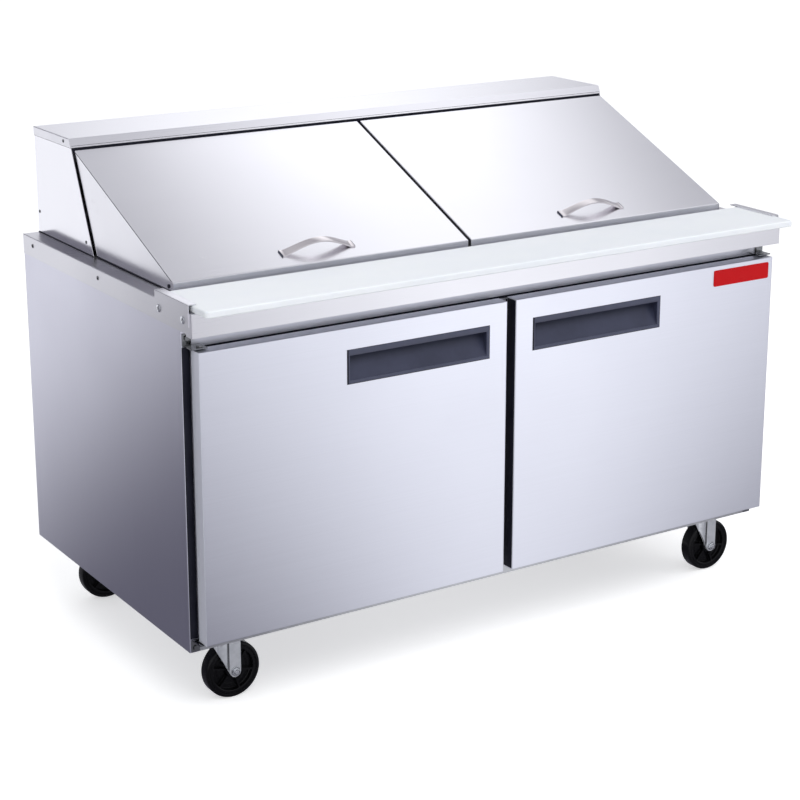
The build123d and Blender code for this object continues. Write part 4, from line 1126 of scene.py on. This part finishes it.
def make_coil(name, node, fins, tubes):
    """Coil of thin fins on copper tubes with return bends, between two end plates."""
    x, y, z = spans(node)
    x, y, z = grown(x, -6), grown(y, -3), grown(z, -3)
    stack = Shape()
    for i in range(1, fins):
        at = x[0] + (x[1] - x[0]) * i / fins
        stack.block((at - 0.2, at + 0.2), y, z)
    piece(f"{name}_fins", stack, "cabinet", slot_of(node), (node,))
    plates = Shape()
    for at in x:
        plates.block((at - 0.7, at + 0.7), grown(y, 3), grown(z, 3))
    piece(f"{name}_plates", plates, "cabinet", slot_of(node), edge=0.3, material="galvanized")
    pipes = Shape()
    pitch = (z[1] - z[0]) / tubes
    for row_y in (y[0] + (y[1] - y[0]) * share for share in (0.28, 0.72)):
        path = []
        for i in range(tubes):
            height = z[0] + pitch * (i + 0.5)
            outward = -1 if i % 2 else 1
            near, far = (x[0] - 1, x[1] + 1)[::outward]
            path.append((near, row_y, height))
            if i < tubes - 1:
                bend = arc((0, height + pitch / 2), pitch / 2, -90, 90, 8)
                path += [(far + outward * u * 0.5, row_y, v) for u, v in bend]
            else:
                path.append((far, row_y, height))
        pipes.tube(path, 4.2, 10)
    piece(f"{name}_tubes", pipes, "cabinet", slot_of(node), material="copper")


def make_fan(node, body, blades, hub_radius, bore):
    """Moulded fan on the Y axis: a domed hub and curved, twisted blades."""
    x, y, z = spans(node)
    radius = (x[1] - x[0]) / 2
    half_depth = (y[1] - y[0]) / 2
    profile = [(bore, -0.7), (hub_radius * 0.8, -0.72), (hub_radius, -0.5), (hub_radius, 0.8), (bore, 0.8)]
    hub = Shape()
    hub.turned([(r, along * half_depth) for r, along in profile], "y", sides=48, bored=True)
    place = Matrix.Translation(middle(node))
    piece(f"{node}_hub", hub, body, slot_of(node), (node,), edge=0.8, place=place)
    vanes = Shape()
    for blade in range(blades):
        rows = []
        for i in range(9):
            out = i / 8
            reach = hub_radius - 2 + (radius - 1 - hub_radius) * out
            tip_round = 1 - 0.25 * max(0.0, out - 0.7) / 0.3
            row = []
            for j in range(9):
                chord = (j / 4 - 1) * tip_round
                angle = math.radians(360 * blade / blades + 15 * out + (27 - 5 * out) * chord)
                lift = half_depth * (0.72 - 0.22 * out) * chord + 2.5 * (1 - chord * chord)
                row.append((reach * math.cos(angle), lift - 1, reach * math.sin(angle)))
            rows.append(row)
        vanes.sheet(rows)
    piece(f"{node}_blades", vanes, body, slot_of(node), wall=1.6, place=place)


def make_fan_guard():
    """Wire rings and spokes ahead of the condenser fan."""
    x, y, z = middle("condenser_fan")
    guard = Shape()
    for radius in (24, 48, 72, 96, 120):
        guard.tube([(x + u, y - 16.5, z + v) for u, v in circle(radius, 48)], 1.2, 8, closed=True)
    for turn in range(6):
        ends = [arc((x, z), radius, 60 * turn, 60 * turn, 1)[0] for radius in (22, 123)]
        guard.tube([(u, y - 18.6, v) for u, v in ends], 1.4, 8)
    piece("fan_guard", guard, "cabinet", "zinc")


COMPRESSOR_FROM_LEFT = 105
SEAM_ABOVE_MIDDLE = 12


def make_compressor_trim():
    """The welded seam round the compressor's shell, and the rubber grommets under its feet."""
    x, y, z = spans("compressor")
    centre = (x[0] + COMPRESSOR_FROM_LEFT, (y[0] + y[1]) / 2)
    seam = (z[0] + z[1]) / 2 + SEAM_ABOVE_MIDDLE
    section = [(79.5, -4), (81.4, -3), (82, 0), (81.4, 3), (79.5, 4)]
    band = Shape()
    band.turned(section, "z", (*centre, seam), 64, True)
    piece("compressor_seam", band, "cabinet", "compressor_paint")
    section = [(3, 0), (11, 0), (12.5, 3), (9.5, 6), (9.5, 8), (12.5, 10.5), (9.5, 15.5), (3, 15.5)]
    grommets = Shape()
    for side_x in (-90, 90):
        for side_y in (-48, 48):
            at = (centre[0] + side_x, centre[1] + side_y, z[0] + 0.6)
            grommets.turned(section, "z", at, 24, True)
    piece("compressor_grommets", grommets, "cabinet", "gasket_rubber")


def make_controller_face():
    """A dark display window and three buttons."""
    x, y, z = spans("controller")
    slot = slot_of("controller")
    window = Shape()
    outline = rounded((x[0] + 8, x[0] + 44), grown(z, -8), 2)
    window.prism(outline, "y", (y[1] - 0.1, y[1] + 0.12))
    piece("controller_window", window, "cabinet", slot, material="handle_plastic")
    buttons = Shape()
    for i in range(3):
        at = (x[0] + 52 + 8.5 * i, y[1], (z[0] + z[1]) / 2)
        buttons.turned([(3.1, -0.1), (3.1, 0.1), (2.6, 0.18)], "y", at, 20)
    # The buttons take the handle plastic painted lighter, as if lit.
    piece("controller_buttons", buttons, "cabinet", slot, material="handle_frame")


make_camera()
make_world()
make_floor()
make_cards()
make_lights()
MATERIALS = make_materials()
dress_cad(MATERIALS)
make_casters()
make_lids()
make_hood_seams()
make_doors()
make_badge()
make_screws()
make_pans()
make_louvres()
make_coil("condenser", "condenser_coil", 84, 7)
make_coil("evaporator", "evaporator_coil", 168, 4)
make_fan("condenser_fan", "condenser_rotor", 5, 32, FAN_BORE)
make_fan("evaporator_fan", "evaporator_rotor", 5, 14, FAN_BORE)
make_fan_guard()
make_compressor_trim()
make_controller_face()

bpy.context.scene.view_settings.view_transform = "Standard"
